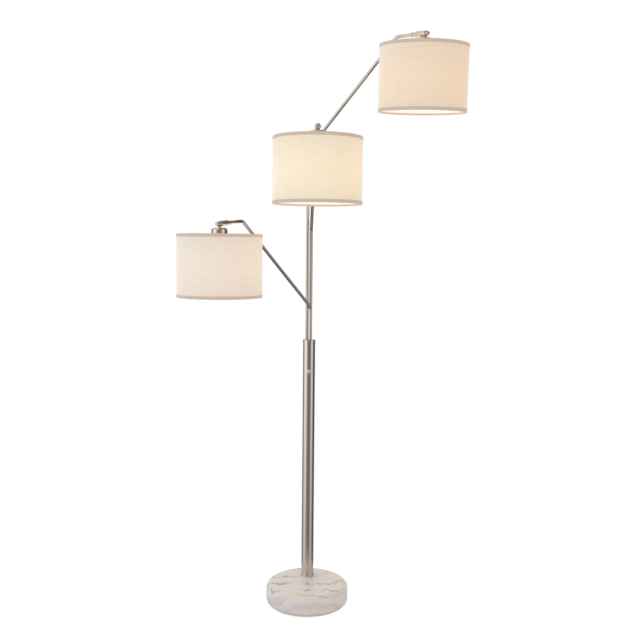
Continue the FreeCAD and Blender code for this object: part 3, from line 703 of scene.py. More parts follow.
@dataclass(frozen=True)
class OpalGlass(Finish):
    """Blown glass flashed white inside: it hides the source and glows evenly, less at the neck
    where the coating is thicker, under a clear glossy skin."""

    centre: Corner
    colour: str = "#FFF6E6"
    cool: str = "#F6EAD6"
    glow: str = "#FFE7C4"
    lit: float = 1.1

    def build(self, graph: Graph) -> Socket:
        """Emission falls off towards the neck."""
        flow = graph.noise(graph.spot(), 45.0)
        even = graph.fading(self.centre, 0.029, 0.062, self.lit, 0.35)
        return graph.add("BsdfPrincipled", Base_Color=graph.mix(flow, self.colour, self.cool),
                         Roughness=0.12, IOR=1.52, Emission_Color=self.glow,
                         Emission_Strength=even, Normal=graph.bump(flow, 0.0002, 0.15))


@dataclass(frozen=True)
class Moulded(Finish):
    """A compression-moulded phenolic or rubber piece: near black, with a fine spark texture."""

    colour: str = "#1B1A19"
    roughness: float = 0.42

    def build(self, graph: Graph) -> Socket:
        """Spark grain of 0.3 mm, drawn at 1 mm so that it shows, with worn, shinier patches."""
        spot = graph.spot()
        worn = graph.noise(spot, 90.0, Detail=3.0)
        rough = graph.span(worn, self.roughness * 0.8, self.roughness * 1.25)
        return graph.add("BsdfPrincipled", Base_Color=graph.tone(self.colour, worn, 0.8, 1.35),
                         Roughness=rough, IOR=1.5,
                         Normal=graph.bump(graph.noise(spot, 1000.0), 0.00006, 0.5))


@dataclass(frozen=True)
class PressedFelt(Finish):
    """Wool felt, pressed and die-cut: matt, with short fibres lying every way."""

    colour: str = "#3B3835"

    def build(self, graph: Graph) -> Socket:
        """Crossed stretched noises draw fibres of a few millimetres."""
        spot = graph.spot()
        crossed = graph.add("Mapping", Vector=spot, Rotation=(0, 0, 1.1),
                            Scale=(60.0, 320.0, 300.0))
        fibres = graph.math("MAXIMUM", graph.noise(graph.scaled(spot, 300.0, 60.0, 300.0)),
                            graph.noise(crossed))
        return graph.add("BsdfPrincipled", Base_Color=graph.tone(self.colour, fibres, 0.6, 1.5),
                         Roughness=0.95, Sheen_Weight=0.6, Specular_IOR_Level=0.1,
                         Normal=graph.bump(fibres, 0.0006, 0.6))


NICKEL = BrushedNickel("brushed_nickel_plate")
# A warmer copy of the same nickel for the head's parts: a painted reflection of the shades' warm
# glow.
WARM_REFLECTION_NICKEL = BrushedNickel("brushed_nickel_painted_warm_reflection", colour="#D9CEC2", shade="#CBBFB2")
DRAWN_NICKEL = BrushedNickel("brushed_nickel_drawn_tube", roughness=0.12, stretch=0.4)
# The knob's nickel is painted much paler than the rest, near white: a painted highlight that makes
# it read bright. Its roughness is satin.
SATIN_NICKEL_PAINTED_PALE = BrushedNickel("satin_nickel_painted_highlight", colour="#FBF8F3", shade="#F2EEE8",
                             roughness=0.78, stretch=0.0)
ZINC_STEEL = SatinMetal("zinc_plated_steel")
BRASS = SatinMetal("drawn_brass", colour="#CDAE6E", roughness=0.28)
MARBLE = PolishedMarble("polished_beige_marble")
PHENOLIC = Moulded("moulded_phenolic")
RUBBER = Moulded("moulded_rubber", colour="#242323", roughness=0.75)
FELT = PressedFelt("pressed_wool_felt")
ENAMEL = WhiteEnamel("white_enamelled_wire")
TAPE = CottonTape("rolled_cotton_tape")


# ---------------------------------------------------------------- sub-assemblies

class Side(Enum):
    """Which arm and head: the first word of its nodes, bodies and pieces."""

    LEFT = "left"
    MIDDLE = "middle"
    RIGHT = "right"


@dataclass
class Keeper:
    """Passes each finished piece to the frame and to the log."""

    nodes: dict[str, Piece]
    count: int = 0

    def keep(self, piece: Piece, finish: Finish, body: str, slot: str, *stands_for: str) -> None:
        """Dress a new piece and tell the frame what it rides on and which nodes it stands for.

        Args:
            piece: The finished piece.
            finish: Its material.
            body: The body it moves with.
            slot: The record's material slot; not used.
            stands_for: The CAD nodes it stands for.
        """
        finish.dress(piece)
        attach(piece, body)
        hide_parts(*stands_for)
        self.count += 1
        LOG.info("%s: %d faces, %s, on %s", piece.name, len(piece.data.polygons), finish.name, body)

    def dress(self, finish: Finish, *names: str) -> None:
        """Give carried-over nodes a finish, by name."""
        finish.dress(*(self.nodes[name] for name in names))
        LOG.info("%s: %s", ", ".join(names), finish.name)


@dataclass
class StoneBase:
    """The round stone with its pad, its gland and the parts clamped in it."""

    radius: float = 159.5
    foot: float = 2.0
    top: float = BASE_TOP
    edge: float = 20.0
    pocket_radius: float = 32.0
    pocket_depth: float = 20.0
    channel_radius: float = 5.5

    def stone(self) -> Piece:
        """The turned stone, its edges true arcs, with the pocket and the cord channel cut in."""
        corners = [(0, self.foot, 0), (self.radius, self.foot, self.edge),
                   (self.radius, self.top, self.edge), (0, self.top, 0)]
        body = revolved("base_stone_polished", corners, np.eye(4), 160, 16, False, 14)
        roof = self.foot + self.pocket_depth
        corners = [(0, 0, 0), (self.pocket_radius, 0, 0), (self.pocket_radius, roof, 1),
                   (0, roof, 0)]
        pocket = revolved("pocket", corners, place(0, POLE_Y, 0), 48, closed=False)
        radius, past = self.channel_radius, self.radius + 5
        axis_z, length = self.foot + radius, past - POLE_Y
        ends = np.array([[0, y, axis_z] for y in (POLE_Y, past)])
        tunnel = bar("tunnel", ends, radius, segments=24, lip=0.01)
        slot = block("slot", (2 * radius - 0.02, length, axis_z),
                     place(0, POLE_Y + length / 2, -0.01), 0.05)
        return cut(body, [pocket, tunnel, slot])

    def build(self, keeper: Keeper) -> None:
        """Make the stone and dress what is under it."""
        keeper.keep(self.stone(), MARBLE, "stand", "marble", "base_stone")
        keeper.dress(FELT, "base_pad")
        keeper.dress(RUBBER, "cord_gland")
        keeper.dress(ZINC_STEEL, "tie_rod", "base_nut", "base_washer", "foot_plug", "arm_carrier")


@dataclass
class Pole:
    """The pole tube between its foot ring and its dished cap, and the bushes in the cap."""

    radius: float = 24.0
    wall: float = 1.5
    foot: float = BASE_TOP
    top: float = POLE_TOP
    ring_height: float = 9.5
    ring_straight: float = 3.2
    ring_low: float = 25.6
    ring_high: float = 24.9
    lip_radius: float = 25.2
    lip_height: float = 5.0
    lip_edge: float = 1.2
    skirt: float = 14.0
    dish_depth: float = 1.0
    border: float = 1.6
    bush_radius: float = 7.25
    bush_bore: float = 6.05
    flange: float = 0.6
    flange_height: float = 1.2

    def made(self, name: str, corners: list[Corner], closed: bool = True) -> Piece:
        """A piece turned about the pole's axis."""
        return revolved(name, corners, place(0, POLE_Y, 0), POLE_COLUMNS, closed=closed)

    def tube(self) -> Piece:
        """The pole as a turned tube with its bore."""
        r, inner = self.radius, self.radius - self.wall
        return self.made("pole_tube_brushed", [(r, self.foot, 0), (r, self.top, 0),
                                               (inner, self.top, 0), (inner, self.foot, 0)])

    def foot_ring(self) -> Piece:
        """The low ring round the foot, cylindrical below and tapering above."""
        bore, low, high = self.radius + FIT, self.foot, self.foot + self.ring_height
        return self.made("pole_foot_ring", [
            (bore, low, 0), (self.ring_low, low, 0), (self.ring_low, low + self.ring_straight, 0.8),
            (self.ring_high, high, 0.5), (bore, high, 0)])

    def cap(self) -> Piece:
        """The cap: a lip over the tube's edge and a dished top."""
        low, high = self.top - self.skirt, self.top + self.lip_height
        dish = self.lip_radius - self.border
        inner, floor = self.radius - self.wall - FIT, high - self.dish_depth
        return self.made("pole_cap_dished", [
            (0, low, 0), (inner, low, 0.5), (inner, self.top, 0), (self.lip_radius, self.top, 0.3),
            (self.lip_radius, high, self.lip_edge), (dish, high, 0.3),
            (dish - self.dish_depth, floor, 0.6), (0, floor, 0)], closed=False)

    def bushes(self) -> Piece:
        """The three flanged bushes that stand proud of the dish."""
        floor = self.top + self.lip_height - self.dish_depth
        low, high = self.top - self.skirt, floor + self.flange_height
        bore, radius, rim = self.bush_bore, self.bush_radius, self.bush_radius + self.flange
        corners = [(bore, low, 0), (radius, low, 0), (radius, floor, 0), (rim, floor, 0),
                   (rim, high, 0.4), (bore, high, 0.2)]
        return joined("arm_bushes_flanged", [
            revolved("bush", corners, place(*arm.seat_point), SMALL_COLUMNS, 4) for arm in ARMS])

    def build(self, keeper: Keeper) -> None:
        """Make the four visible pieces."""
        for make, node in ((self.tube, "pole_tube"), (self.foot_ring, "pole_foot"),
                           (self.cap, "pole_cap"), (self.bushes, "arm_bushes")):
            keeper.keep(make(), NICKEL, "stand", "nickel", node)


@dataclass
class TurnSwitch:
    """The rotary switch on the pole's front: knurled ring nut and knob with a finger grip."""

    front: float = 46.0
    height: float = 905.5
    nut_radius: float = 7.2
    nut_bore: float = 5.0
    nut_thickness: float = 2.6
    gap: float = 0.3
    knob_radius: float = 8.0
    skirt: float = 4.0
    grip: tuple[float, float, float] = (4.6, 15.0, 12.0)
    turn: float = -35.0
    shaft_radius: float = 3.0
    shaft_length: float = 13.4
    knurls: int = 30

    def facing(self, back: float) -> Array:
        """Placement with local Z to the front at the switch's height, its foot at y = back."""
        return place(0, back, self.height) @ rotation([1, 0, 0], 90)

    def nut(self) -> Piece:
        """The ring nut, its rim cut with shallow flutes: r (1 - 0.02 (1 + cos(30 a)))."""
        line = rounded([(self.nut_bore, 0, 0), (self.nut_radius, 0, 0.3),
                        (self.nut_radius, self.nut_thickness, 0.5),
                        (self.nut_bore, self.nut_thickness, 0)], 3)
        columns = 6 * self.knurls
        angle = np.linspace(0, 2 * math.pi, columns + 1)[None, :]
        rim = (line[:, :1] > self.nut_radius - 0.35).astype(float)
        return turned("switch_nut_fluted", line, self.facing(self.front), columns,
                      -0.02 * (1 + np.cos(self.knurls * angle)) * rim)

    def knob(self) -> Piece:
        """The knob: skirt, finger grip and shaft."""
        back = self.front - self.nut_thickness - self.gap
        frame = self.facing(back) @ rotation([0, 0, 1], self.turn)
        radius, thin, low = self.knob_radius, self.shaft_radius, -self.shaft_length
        skirt = revolved("skirt", [(0, 0, 0), (radius, 0, 0.4), (radius, self.skirt, 1.2),
                                   (0, self.skirt, 0)], frame, 64, closed=False)
        shaft = revolved("shaft", [(0, low, 0), (thin, low, 0.3), (thin, 0.1, 0), (0, 0.1, 0)],
                         frame, 32, closed=False)
        return joined("switch_knob_with_grip", [skirt, block("grip", self.grip, frame, 1.5), shaft])

    def build(self, keeper: Keeper) -> None:
        """Make the nut and the knob, and dress the body inside the pole."""
        keeper.keep(self.nut(), NICKEL, "stand", "nickel", "switch_nut")
        keeper.keep(self.knob(), SATIN_NICKEL_PAINTED_PALE, "turn_knob", "nickel", "switch_knob")
        keeper.dress(PHENOLIC, "switch_body")


@dataclass
class Arm:
    """One bent arm: where it stands, where it goes and how its head hangs."""

    side: Side
    seat: float
    azimuth: float
    run: float
    climb: float
    rise: float
    tip: float
    tip_azimuth: float
    tip_slope: float
    lean: float = 0.0
    roll: float = 0.0
    seat_circle: float = 9.4
    bottom: float = 935.7
    radius: float = 6.0
    wall: float = 1.2
    bend: float = 25.0
    joint_below: float = 60.0
    shaft_radius: float = 5.0
    plug_length: float = 15.0
    thread_radius: float = 3.0
    thread_end: float = 13.0
    gap: float = 0.3
    barrel_radius: float = 9.75
    barrel_span: tuple[float, float] = (-39.7, 6.7)
    collar_span: tuple[float, float] = (-57.0, -50.0)
    collar_radius: float = 7.6
    cap_radius: float = 7.2
    cap_end: float = 17.0
    neck_radius: float = 5.2
    neck_drop: float = 14.0
    flare_span: tuple[float, float] = (-10.6, -8.4)
    flare: float = 1.5

    def called(self, what: str) -> str:
        """The name of one of this arm's nodes, bodies or pieces."""
        return f"{self.side.value}_{what}"

    @property
    def seat_point(self) -> Array:
        """Where the arm's axis crosses the floor."""
        return np.array([0, POLE_Y, 0]) + heading(self.seat, 0) * self.seat_circle

    @property
    def lower_bend(self) -> Array:
        """The corner of the lower bend."""
        return self.seat_point + np.array([0, 0, POLE_TOP + self.rise])

    @property
    def upper_bend(self) -> Array:
        """The corner of the upper bend."""
        return self.lower_bend + heading(self.azimuth, 0) * self.run + np.array([0, 0, self.climb])

    @property
    def hang_point(self) -> Array:
        """The point on the barrel's axis that the head hangs from."""
        length = self.tip / math.cos(math.radians(self.tip_slope))
        return self.upper_bend + heading(self.tip_azimuth, self.tip_slope) * length

    @property
    def joint_point(self) -> Array:
        """Where the stem ends and the bent tube begins."""
        return self.lower_bend - np.array([0, 0, self.joint_below])

    @property
    def barrel(self) -> Array:
        """Placement with local Z along the barrel, towards its tip."""
        turn = rotation([0, 0, 1], -self.tip_azimuth) @ rotation([0, 1, 0], self.tip_slope + 90)
        return place(*self.hang_point) @ turn

    @property
    def hanging(self) -> Array:
        """Placement of the head: origin on the barrel's axis, Z up through the cup."""
        turn = rotation(heading(self.tip_azimuth, self.tip_slope), self.roll)
        turn = turn @ rotation([0, 0, 1], -self.tip_azimuth) @ rotation([0, 1, 0], self.lean)
        return place(*self.hang_point) @ turn

    def stem(self) -> Piece:
        """The straight tube from inside the pole up to the joint."""
        ends = np.array([self.seat_point + np.array([0, 0, self.bottom]), self.joint_point])
        return bar(self.called("stem_tube"), ends, self.radius, self.radius - self.wall)

    def tube(self) -> Piece:
        """The bent tube from the joint to the swivel's collar."""
        end = self.hang_point + heading(self.tip_azimuth, self.tip_slope) * self.collar_span[0]
        path = bent_line([self.joint_point, self.lower_bend, self.upper_bend, end], self.bend)
        return bar(self.called("bent_tube"), path, self.radius, self.radius - self.wall)

    def spindle(self) -> Piece:
        """The swivel's shaft with its collar against the tube's end."""
        low, high = self.collar_span
        start, stop = self.barrel_span[0], self.barrel_span[1] + self.gap
        plug, foot = self.radius - self.wall - FIT, low - self.plug_length
        shaft, thread, collar = self.shaft_radius, self.thread_radius, self.collar_radius
        corners = [(0, foot, 0), (plug, foot, 0.5), (plug, low, 0), (collar, low, 0.7),
                   (collar, high, 0.9), (self.radius, high, 0.5), (self.radius, start, 0),
                   (shaft, start, 0), (shaft, stop, 0), (thread, stop, 0),
                   (thread, self.thread_end, 0.3), (0, self.thread_end, 0)]
        return revolved(self.called("spindle_turned"), corners, self.barrel, SMALL_COLUMNS,
                        closed=False)

    def barrel_and_neck(self) -> Piece:
        """The barrel, with the short neck that the head hangs from."""
        low, high = self.barrel_span
        bore, radius, thin = self.shaft_radius + FIT, self.barrel_radius, self.neck_radius
        barrel = revolved("barrel", [(bore, low, 0.3), (radius, low, 1.5), (radius, high, 1.5),
                                     (bore, high, 0.3)], self.barrel, 64)
        foot, (flare_low, flare_high) = -self.neck_drop, self.flare_span
        neck = revolved("neck", [(0, foot, 0), (thin, foot, 0.3), (thin, flare_low, 1.2),
                                 (thin + self.flare, flare_high, 0), (0, -6.5, 0)],
                        self.hanging, 48, closed=False)
        return joined(self.called("barrel_with_neck"), [barrel, neck])

    def cap_nut(self) -> Piece:
        """The round-ended nut at the barrel's tip."""
        low = self.barrel_span[1] + self.gap
        corners = [(self.thread_radius, low, 0), (self.cap_radius, low, 0.4),
                   (self.cap_radius, self.cap_end, 4.6), (0, self.cap_end, 0)]
        return revolved(self.called("cap_nut"), corners, self.barrel, SMALL_COLUMNS, 12, False)

    def build(self, keeper: Keeper) -> None:
        """Make the arm's pieces, and dress the collars and the nipple inside."""
        for make, finish, body, node in ((self.stem, DRAWN_NICKEL, "arm", "arm_stem"),
                                         (self.tube, DRAWN_NICKEL, "arm", "arm_tube"),
                                         (self.spindle, WARM_REFLECTION_NICKEL, "arm", "swivel_spindle"),
                                         (self.cap_nut, WARM_REFLECTION_NICKEL, "arm", "swivel_cap"),
                                         (self.barrel_and_neck, WARM_REFLECTION_NICKEL, "shade",
                                          "swivel_barrel")):
            keeper.keep(make(), finish, self.called(body), "nickel", self.called(node))
        keeper.dress(ZINC_STEEL, self.called("arm_collars"), self.called("neck_nipple"))


@dataclass
class Head:
    """One head: cup, holder, bulb and the drum shade on its wire frame."""

    arm: Arm
    glow: str
    lit: float
    cup_top: float = -14.0
    cup_bottom: float = -72.0
    cup_radius: float = 28.5
    cup_shoulder: float = 9.0
    cup_wall: float = 1.2
    cup_hole: float = 3.55
    holder_top: float = -17.2
    holder_radius: float = 19.0
    flange_radius: float = 24.0
    flange_bottom: float = -75.0
    skirt_radius: float = 20.0
    ridge_depth: float = 0.6
    ridge_count: int = 10
    holder_bottom: float = -97.0
    mouth_radius: float = 13.05
    mouth_roof: float = -71.0
    nut_radius: float = 25.5
    nut_span: tuple[float, float] = (-85.2, -76.7)
    nut_flutes: int = 24
    hub_radii: tuple[float, float] = (20.2, 27.9)
    hub_span: tuple[float, float] = (-76.65, -75.05)
    wire: float = 3.2
    wire_outer: float = 147.95
    wire_inset: float = 1.0
    spoke_angles: tuple[float, ...] = (0.0, 120.0, 240.0)
    cloth_radius: float = 149.3
    cloth_inner: float = 148.0
    cloth_top: float = -35.5
    cloth_bottom: float = -255.5
    cloth_thickness: float = 0.7
    seam_height: float = 0.45
    seam_short: float = 9.0
    seam_span: tuple[float, float] = (177.5, 182.5)
    tape_radius: float = 150.0
    tape_width: float = 10.5
    tape_over: float = 0.4
    tape_inside: tuple[float, float] = (5.2, 5.8)
    bulb_top: float = -71.3
    bulb_cap_radius: float = 13.0
    bulb_cap_length: float = 26.0
    bulb_throat: float = 22.0
    bulb_radius: float = 30.0
    bulb_length: float = 108.0
    thread_pitch: float = 3.6
    thread_depth: float = 0.3

    @property
    def glow_centre(self) -> Corner:
        """The middle of the bulb's globe in the scene, in metres."""
        down = self.bulb_top - self.bulb_length + self.bulb_radius
        return tuple((placed(np.array([0, 0, down]), self.arm.hanging) * MM).tolist())

    def made(self, name: str, corners: list[Corner], segments: int, steps: int = 8,
             closed: bool = True, longest: float = 40.0) -> Piece:
        """A piece turned about the head's axis; the arguments are those of revolved."""
        return revolved(name, corners, self.arm.hanging, segments, steps, closed, longest)

    def cup(self) -> Piece:
        """The spun metal cup over the holder, with a soft shoulder and a rolled lower edge."""
        top, bottom, wall, hole = self.cup_top, self.cup_bottom, self.cup_wall, self.cup_hole
        inner = self.cup_radius - wall
        corners = [(hole, top, 0), (self.cup_radius, top, self.cup_shoulder),
                   (self.cup_radius, bottom, 0.5), (inner, bottom, 0.4),
                   (inner, top - wall, self.cup_shoulder - wall), (hole, top - wall, 0)]
        return self.made(self.arm.called("cup_spun"), corners, 96, 12)

    def holder(self) -> Piece:
        """The screw lamp holder, with thread ridges 2 mm apart on its skirt."""
        skirt, flange, low = self.skirt_radius, self.flange_radius, self.holder_bottom
        ridges = [(skirt - self.ridge_depth * (i % 2), self.nut_span[0] - 1 - i, 0)
                  for i in range(self.ridge_count)]
        corners = [(0, self.holder_top, 0), (self.holder_radius, self.holder_top, 1.5),
                   (self.holder_radius, self.cup_bottom, 0), (flange, self.cup_bottom, 0.5),
                   (flange, self.flange_bottom, 0.5), (skirt, self.flange_bottom, 0), *ridges,
                   (skirt - self.ridge_depth / 2, low, 0.4), (self.mouth_radius, low, 0.8),
                   (self.mouth_radius, self.mouth_roof, 0.5), (0, self.mouth_roof, 0)]
        return self.made(self.arm.called("holder_moulded"), corners, 72, 4, False)

    def ring_nut(self) -> Piece:
        """The shade's ring nut, its rim fluted for the fingers: r (1 - 0.012 (1 + cos(24 a)))."""
        low, high = self.nut_span
        line = rounded([(self.skirt_radius, low, 0), (self.nut_radius, low, 1.2),
                        (self.nut_radius, high, 0.8), (self.skirt_radius, high, 0)], 4, longest=2)
        columns = 8 * self.nut_flutes
        angle = np.linspace(0, 2 * math.pi, columns + 1)[None, :]
        rim = np.clip((line[:, :1] - self.skirt_radius) / 4 - 0.25, 0, 1)
        return turned(self.arm.called("ring_nut_fluted"), line, self.arm.hanging, columns,
                      -0.012 * (1 + np.cos(self.nut_flutes * angle)) * rim)

    def hoop(self, name: str, height: float) -> Piece:
        """A round wire hoop just inside the shade's edge: (R + t cos a, height + t sin a)."""
        t, angle = self.wire / 2, np.linspace(0, 2 * math.pi, 15)
        line = np.stack([self.wire_outer - t + t * np.cos(angle), height + t * np.sin(angle)], 1)
        return turned(name, line, self.arm.hanging, 144)

    def spider(self) -> Piece:
        """The upper frame: pressed hub, three wire spokes and the top hoop."""
        (inner, outer), (low, high), half = self.hub_radii, self.hub_span, self.wire / 2
        hub = self.made("hub", [(inner, low, 0.3), (outer, low, 0.6), (outer, high, 0.6),
                                (inner, high, 0.3)], 96, 4)
        top = self.cloth_top - self.wire_inset - half
        parts = [hub, self.hoop("hoop", top)]
        for degrees in self.spoke_angles:
            a = math.radians(degrees)
            ends = np.array([[r * math.cos(a), r * math.sin(a), z] for r, z in
                             ((outer - half, (low + high) / 2), (self.wire_outer - half, top))])
            parts.append(bar("spoke", placed(ends, self.arm.hanging), half, segments=16, lip=0.5))
        return joined(self.arm.called("spider_wire"), parts)

    def lower_hoop(self) -> Piece:
        """The hoop at the shade's lower edge."""
        return self.hoop(self.arm.called("lower_hoop"),
                         self.cloth_bottom + self.wire_inset + self.wire / 2)

    def cloth(self) -> Piece:
        """The cloth, an open drum of real thickness, with its lap seam on the arm's side."""
        mid, out = self.cloth_radius - self.cloth_thickness, self.cloth_radius
        drum = self.made("drum", [(mid, self.cloth_bottom, 0), (out, self.cloth_bottom, 0.3),
                                  (out, self.cloth_top, 0.3), (mid, self.cloth_top, 0)],
                         DRUM_COLUMNS, 3, longest=20)
        low, high = self.cloth_bottom + self.seam_short, self.cloth_top - self.seam_short
        out += self.seam_height
        line = rounded([(mid, low, 0), (out, low, 0.2), (out, high, 0.2), (mid, high, 0)], 2,
                       longest=20)
        seam = turned("seam", line, self.arm.hanging, 6, span=self.seam_span)
        return joined(self.arm.called("drum_linen"), [drum, seam])

    def liner(self) -> Piece:
        """The backing sheet inside the cloth."""
        mid, inner = self.cloth_radius - self.cloth_thickness - 0.02, self.cloth_inner
        low, high = self.cloth_bottom + 0.2, self.cloth_top - 0.2
        corners = [(mid, low, 0), (mid, high, 0), (inner, high, 0), (inner, low, 0)]
        return self.made(self.arm.called("drum_liner"), corners, DRUM_COLUMNS, longest=20)

    def tape(self, edge: float, inward: float) -> Piece:
        """One tape, flat outside and rolled over the edge and the wire behind it.

        Args:
            edge: Height of the shade's edge.
            inward: 1 if the shade lies above the edge, -1 if it lies below.

        Returns:
            The tape.
        """
        out, back = self.tape_radius, self.cloth_inner - FIT
        inner = self.wire_outer - self.wire - 0.5
        far, over = edge + inward * self.tape_width, edge - inward * self.tape_over
        rolled, glued = (edge + inward * up for up in self.tape_inside)
        return self.made("tape", [(self.cloth_radius, far, 0), (out, far, 0.3), (out, over, 1.0),
                                  (inner, over, 1.8), (inner, rolled, 1.8), (back, glued, 0),
                                  (back, edge, 0), (self.cloth_radius, edge, 0)], DRUM_COLUMNS, 5)

    def tapes(self) -> Piece:
        """The tapes of the upper and the lower edge."""
        return joined(self.arm.called("tapes_rolled"),
                      [self.tape(self.cloth_top, -1), self.tape(self.cloth_bottom, 1)])

    def bulb_glass(self) -> Piece:
        """The blown globe with its throat."""
        neck, radius = self.bulb_cap_radius, self.bulb_radius
        low, tip = self.bulb_top - self.bulb_cap_length, self.bulb_top - self.bulb_length
        corners = [(0, low + 0.5, 0), (neck - 0.6, low + 0.5, 0), (neck, low, 0),
                   (radius, low - self.bulb_throat, self.bulb_throat), (radius, tip, radius - FIT),
                   (0, tip, 0)]
        return self.made(self.arm.called("bulb_globe"), corners, 72, 16, False)

    def bulb_cap(self) -> Piece:
        """The rolled screw cap, its thread a wave: r = 12.65 + 0.3 cos(2 pi z / 3.6)."""
        top, low, radius = self.bulb_top, self.bulb_top - self.bulb_cap_length, self.bulb_cap_radius
        z = np.linspace(top - 4, low + 3, 60)
        wave = self.thread_depth * np.cos(2 * math.pi * z / self.thread_pitch)
        ends = [[0, top], [5, top], [9, top - 2.5], [radius - 0.6, top - 3.4]]
        foot = [[radius - 0.1, low + 2], [radius - 0.1, low], [0, low]]
        line = np.concatenate([ends, np.stack([radius - 0.35 + wave, z], 1), foot])
        return turned(self.arm.called("bulb_screw_cap"), line, self.arm.hanging, SMALL_COLUMNS)

    def build(self, keeper: Keeper) -> None:
        """Make every piece of the head."""
        called, centre = self.arm.called, self.glow_centre
        linen = SlubLinen(called("slub_linen"), glow=self.glow, lit=self.lit, centre=centre)
        liner = StyreneLiner(called("styrene_liner"), centre=centre)
        opal = OpalGlass(called("opal_glass"), centre=centre)
        for make, finish, slot, node in ((self.cup, WARM_REFLECTION_NICKEL, "nickel", "socket_cup"),
                                         (self.holder, PHENOLIC, "black_plastic", "lamp_holder"),
                                         (self.ring_nut, PHENOLIC, "black_plastic", "shade_nut"),
                                         (self.spider, ENAMEL, "frame_white", "shade_spider"),
                                         (self.lower_hoop, ENAMEL, "frame_white",
                                          "shade_lower_ring"),
                                         (self.cloth, linen, "linen", "shade_drum"),
                                         (self.liner, liner, "linen", "shade_drum"),
                                         (self.tapes, TAPE, "tape", "shade_tapes"),
                                         (self.bulb_glass, opal, "opal", "bulb"),
                                         (self.bulb_cap, BRASS, "nickel", "bulb")):
            keeper.keep(make(), finish, called("shade"), slot, called(node))


ARMS = [
    Arm(Side.LEFT, 60, 137.3, 333.6, 325.0, 131.5, 118, 126.8, 6.2),
    Arm(Side.MIDDLE, -60, 87.0, 340.9, 342.6, 433.5, 120, 87.0, 6.0),
    Arm(Side.RIGHT, 180, 46.0, 440.0, 351.0, 735.5, 122, 46.0, 4.7, lean=4.0, roll=3.5),
]
# Each head's glow and lit set its cloth's painted glow: the colour and strength of the emission
# that stands in for the bulb's light through it.
HEADS = [
    Head(ARMS[0], glow="#FFDAC0", lit=0.27),
    Head(ARMS[1], glow="#FFDC98", lit=0.35),
    Head(ARMS[2], glow="#FFBC58", lit=0.28),
]


# ---------------------------------------------------------------- studio

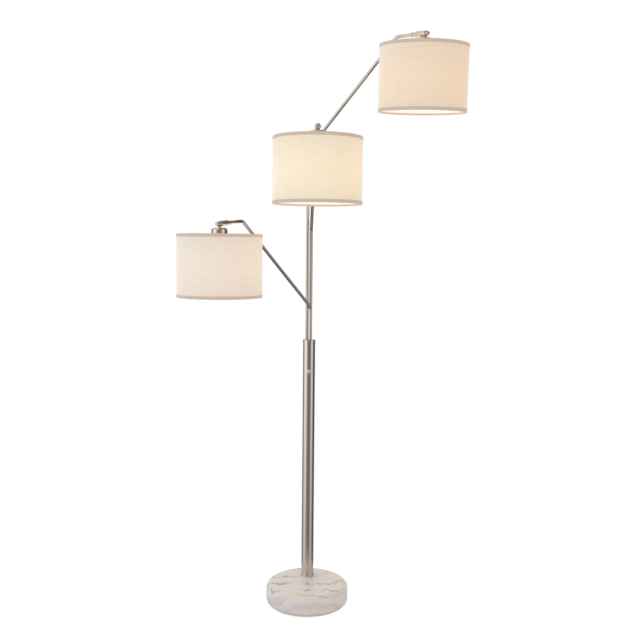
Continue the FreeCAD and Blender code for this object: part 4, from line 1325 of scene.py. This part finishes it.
@dataclass
class Studio:
    """Camera, floor and light, none of which belong to the lamp."""

    camera_place: Corner = (0.04138, -3.2170, 1.3947)
    pitch_down: float = 5.030
    roll: float = 0.538
    lens_mm: float = 47.547
    sensor_mm: float = 36.0
    clip_end: float = 100.0
    floor_radius: float = 0.38
    floor_corners: int = 64
    floor_lift: float = 0.72
    box_level: float = 1.5

    def camera(self) -> None:
        """Set up the camera as a pinhole from the photograph's place."""
        data = bpy.data.cameras.new("studio_camera")
        data.lens, data.sensor_width, data.clip_end = self.lens_mm, self.sensor_mm, self.clip_end
        camera = bpy.data.objects.new("studio_camera", data)
        tip = Euler((math.radians(90 - self.pitch_down), 0, 0)).to_matrix()
        spin = Matrix.Rotation(math.radians(self.roll), 3, "Z")
        camera.matrix_world = Matrix.Translation(self.camera_place) @ (tip @ spin).to_4x4()
        bpy.context.scene.collection.objects.link(camera)
        bpy.context.scene.camera = camera

    def room(self, graph: Graph, x: Socket, y: Socket, z: Socket) -> Socket:
        """What gloss shows: a wide soft box on the left, a narrow one on the right and an unlit
        room between them, with a paler ceiling and a dark floor."""
        # Share of a turn round the lamp: 0 at the front, a quarter at the right, a half behind.
        turn = graph.math("ARCTAN2", x, graph.math("MULTIPLY", y, -1.0))
        share = graph.math("FRACT", graph.math("MULTIPLY_ADD", turn, 1 / (2 * math.pi), 1.0))
        walls = graph.ramp(
            share, (0.000, "#766560"), (0.080, "#7A6962"), (0.120, "#D8D5D3"), (0.190, "#D8D5D3"),
            (0.240, "#665C58"), (0.310, "#2A2524"), (0.380, "#2A2625"), (0.400, "#D4D4D4"),
            (0.560, "#D4D4D4"), (0.600, "#6A6765"), (0.670, "#6E6B6A"), (0.735, "#C4C3C2"),
            (0.790, "#FFFFFF"), (0.862, "#F0EEEC"), (0.917, "#A59B94"), (0.965, "#73625C"))
        ceiling = graph.mix(graph.span(x, start=-0.35, stop=0.35), "#D2C6BC", "#655B54")
        overhead = graph.mix(graph.span(z, start=0.2, stop=0.55), walls, ceiling)
        lower = graph.mix(graph.span(z, 0.0, 0.6, -0.1, -0.36), overhead, "#74675F")
        return graph.mix(graph.span(z, start=-0.42, stop=-0.56), lower, "#5A514B")

    def world(self) -> None:
        """White behind the lamp and to the camera; plain soft light, a little stronger from the
        left and from behind; and the room, for gloss."""
        world = bpy.data.worlds.new("studio_world")
        bpy.context.scene.world = world
        world.use_nodes = True
        world.cycles.sampling_method = "NONE"
        graph = Graph(world.node_tree)
        x = graph.add("SeparateXYZ", out="X", Vector=graph.add("TexCoord", out="Generated"))
        y, z = x.node.outputs["Y"], x.node.outputs["Z"]
        in_gloss = graph.add("Background", Color=self.room(graph, x, y, z), Strength=self.box_level)
        side = graph.span(x, 0.98, 0.74, -1.0, 1.0)
        tint = graph.mix(graph.span(x, start=-1.0, stop=1.0), "#F0F8FF", "#FFF9F2")
        plain = graph.add("Background", Color=tint,
                          Strength=graph.math("MULTIPLY", side, graph.span(y, 1.0, 1.5)))
        white = graph.add("Background", Color=(1, 1, 1, 1), Strength=1.0)
        lit = graph.add("MixShader", i0=graph.add("LightPath", out="Is Glossy Ray"), i1=plain,
                        i2=in_gloss)
        graph.add("OutputWorld", Surface=graph.add("MixShader", i0=graph.seen(), i1=lit, i2=white))

    def floor(self) -> None:
        """A pale paper floor that shows white but keeps the lamp's shadow."""
        angle = np.linspace(0, 2 * math.pi, self.floor_corners + 1)[:-1]
        rim = np.stack([np.cos(angle), np.sin(angle), 0 * angle], 1) * self.floor_radius
        mesh = bpy.data.meshes.new("studio_floor")
        mesh.from_pydata(rim.tolist(), [], [list(range(self.floor_corners))])
        floor = bpy.data.objects.new("studio_floor", mesh)
        bpy.context.scene.collection.objects.link(floor)
        made = bpy.data.materials.new("white_paper_floor")
        made.use_nodes = True
        graph = Graph(made.node_tree)
        fibre = graph.noise(graph.spot(), 400.0)
        paper = graph.add("BsdfDiffuse", Color=graph.mix(fibre, "#D8D6D4", "#D2D0CE"))
        lift = graph.add("Emission", Color=(1, 1, 1, 1), Strength=self.floor_lift)
        white = graph.add("AddShader", i0=paper, i1=lift)
        graph.add("OutputMaterial",
                  Surface=graph.add("MixShader", i0=graph.seen(), i1=paper, i2=white))
        mesh.materials.append(made)

    def build(self) -> None:
        """Make the whole studio."""
        self.camera()
        self.world()
        self.floor()
        bpy.context.scene.view_settings.view_transform = "Standard"
        LOG.info("studio ready")


# ---------------------------------------------------------------- whole lamp

def main() -> None:
    """Build the lamp's looks and the studio round it."""
    logging.basicConfig(level=logging.INFO, format="%(name)s: %(message)s")
    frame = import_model()
    keeper = Keeper(frame["nodes"])
    for assembly in (StoneBase(), Pole(), TurnSwitch()):
        assembly.build(keeper)
    for arm, head in zip(ARMS, HEADS):
        arm.build(keeper)
        head.build(keeper)
    Studio().build()
    LOG.info("%d new pieces", keeper.count)


if __name__ == "__main__":
    main()
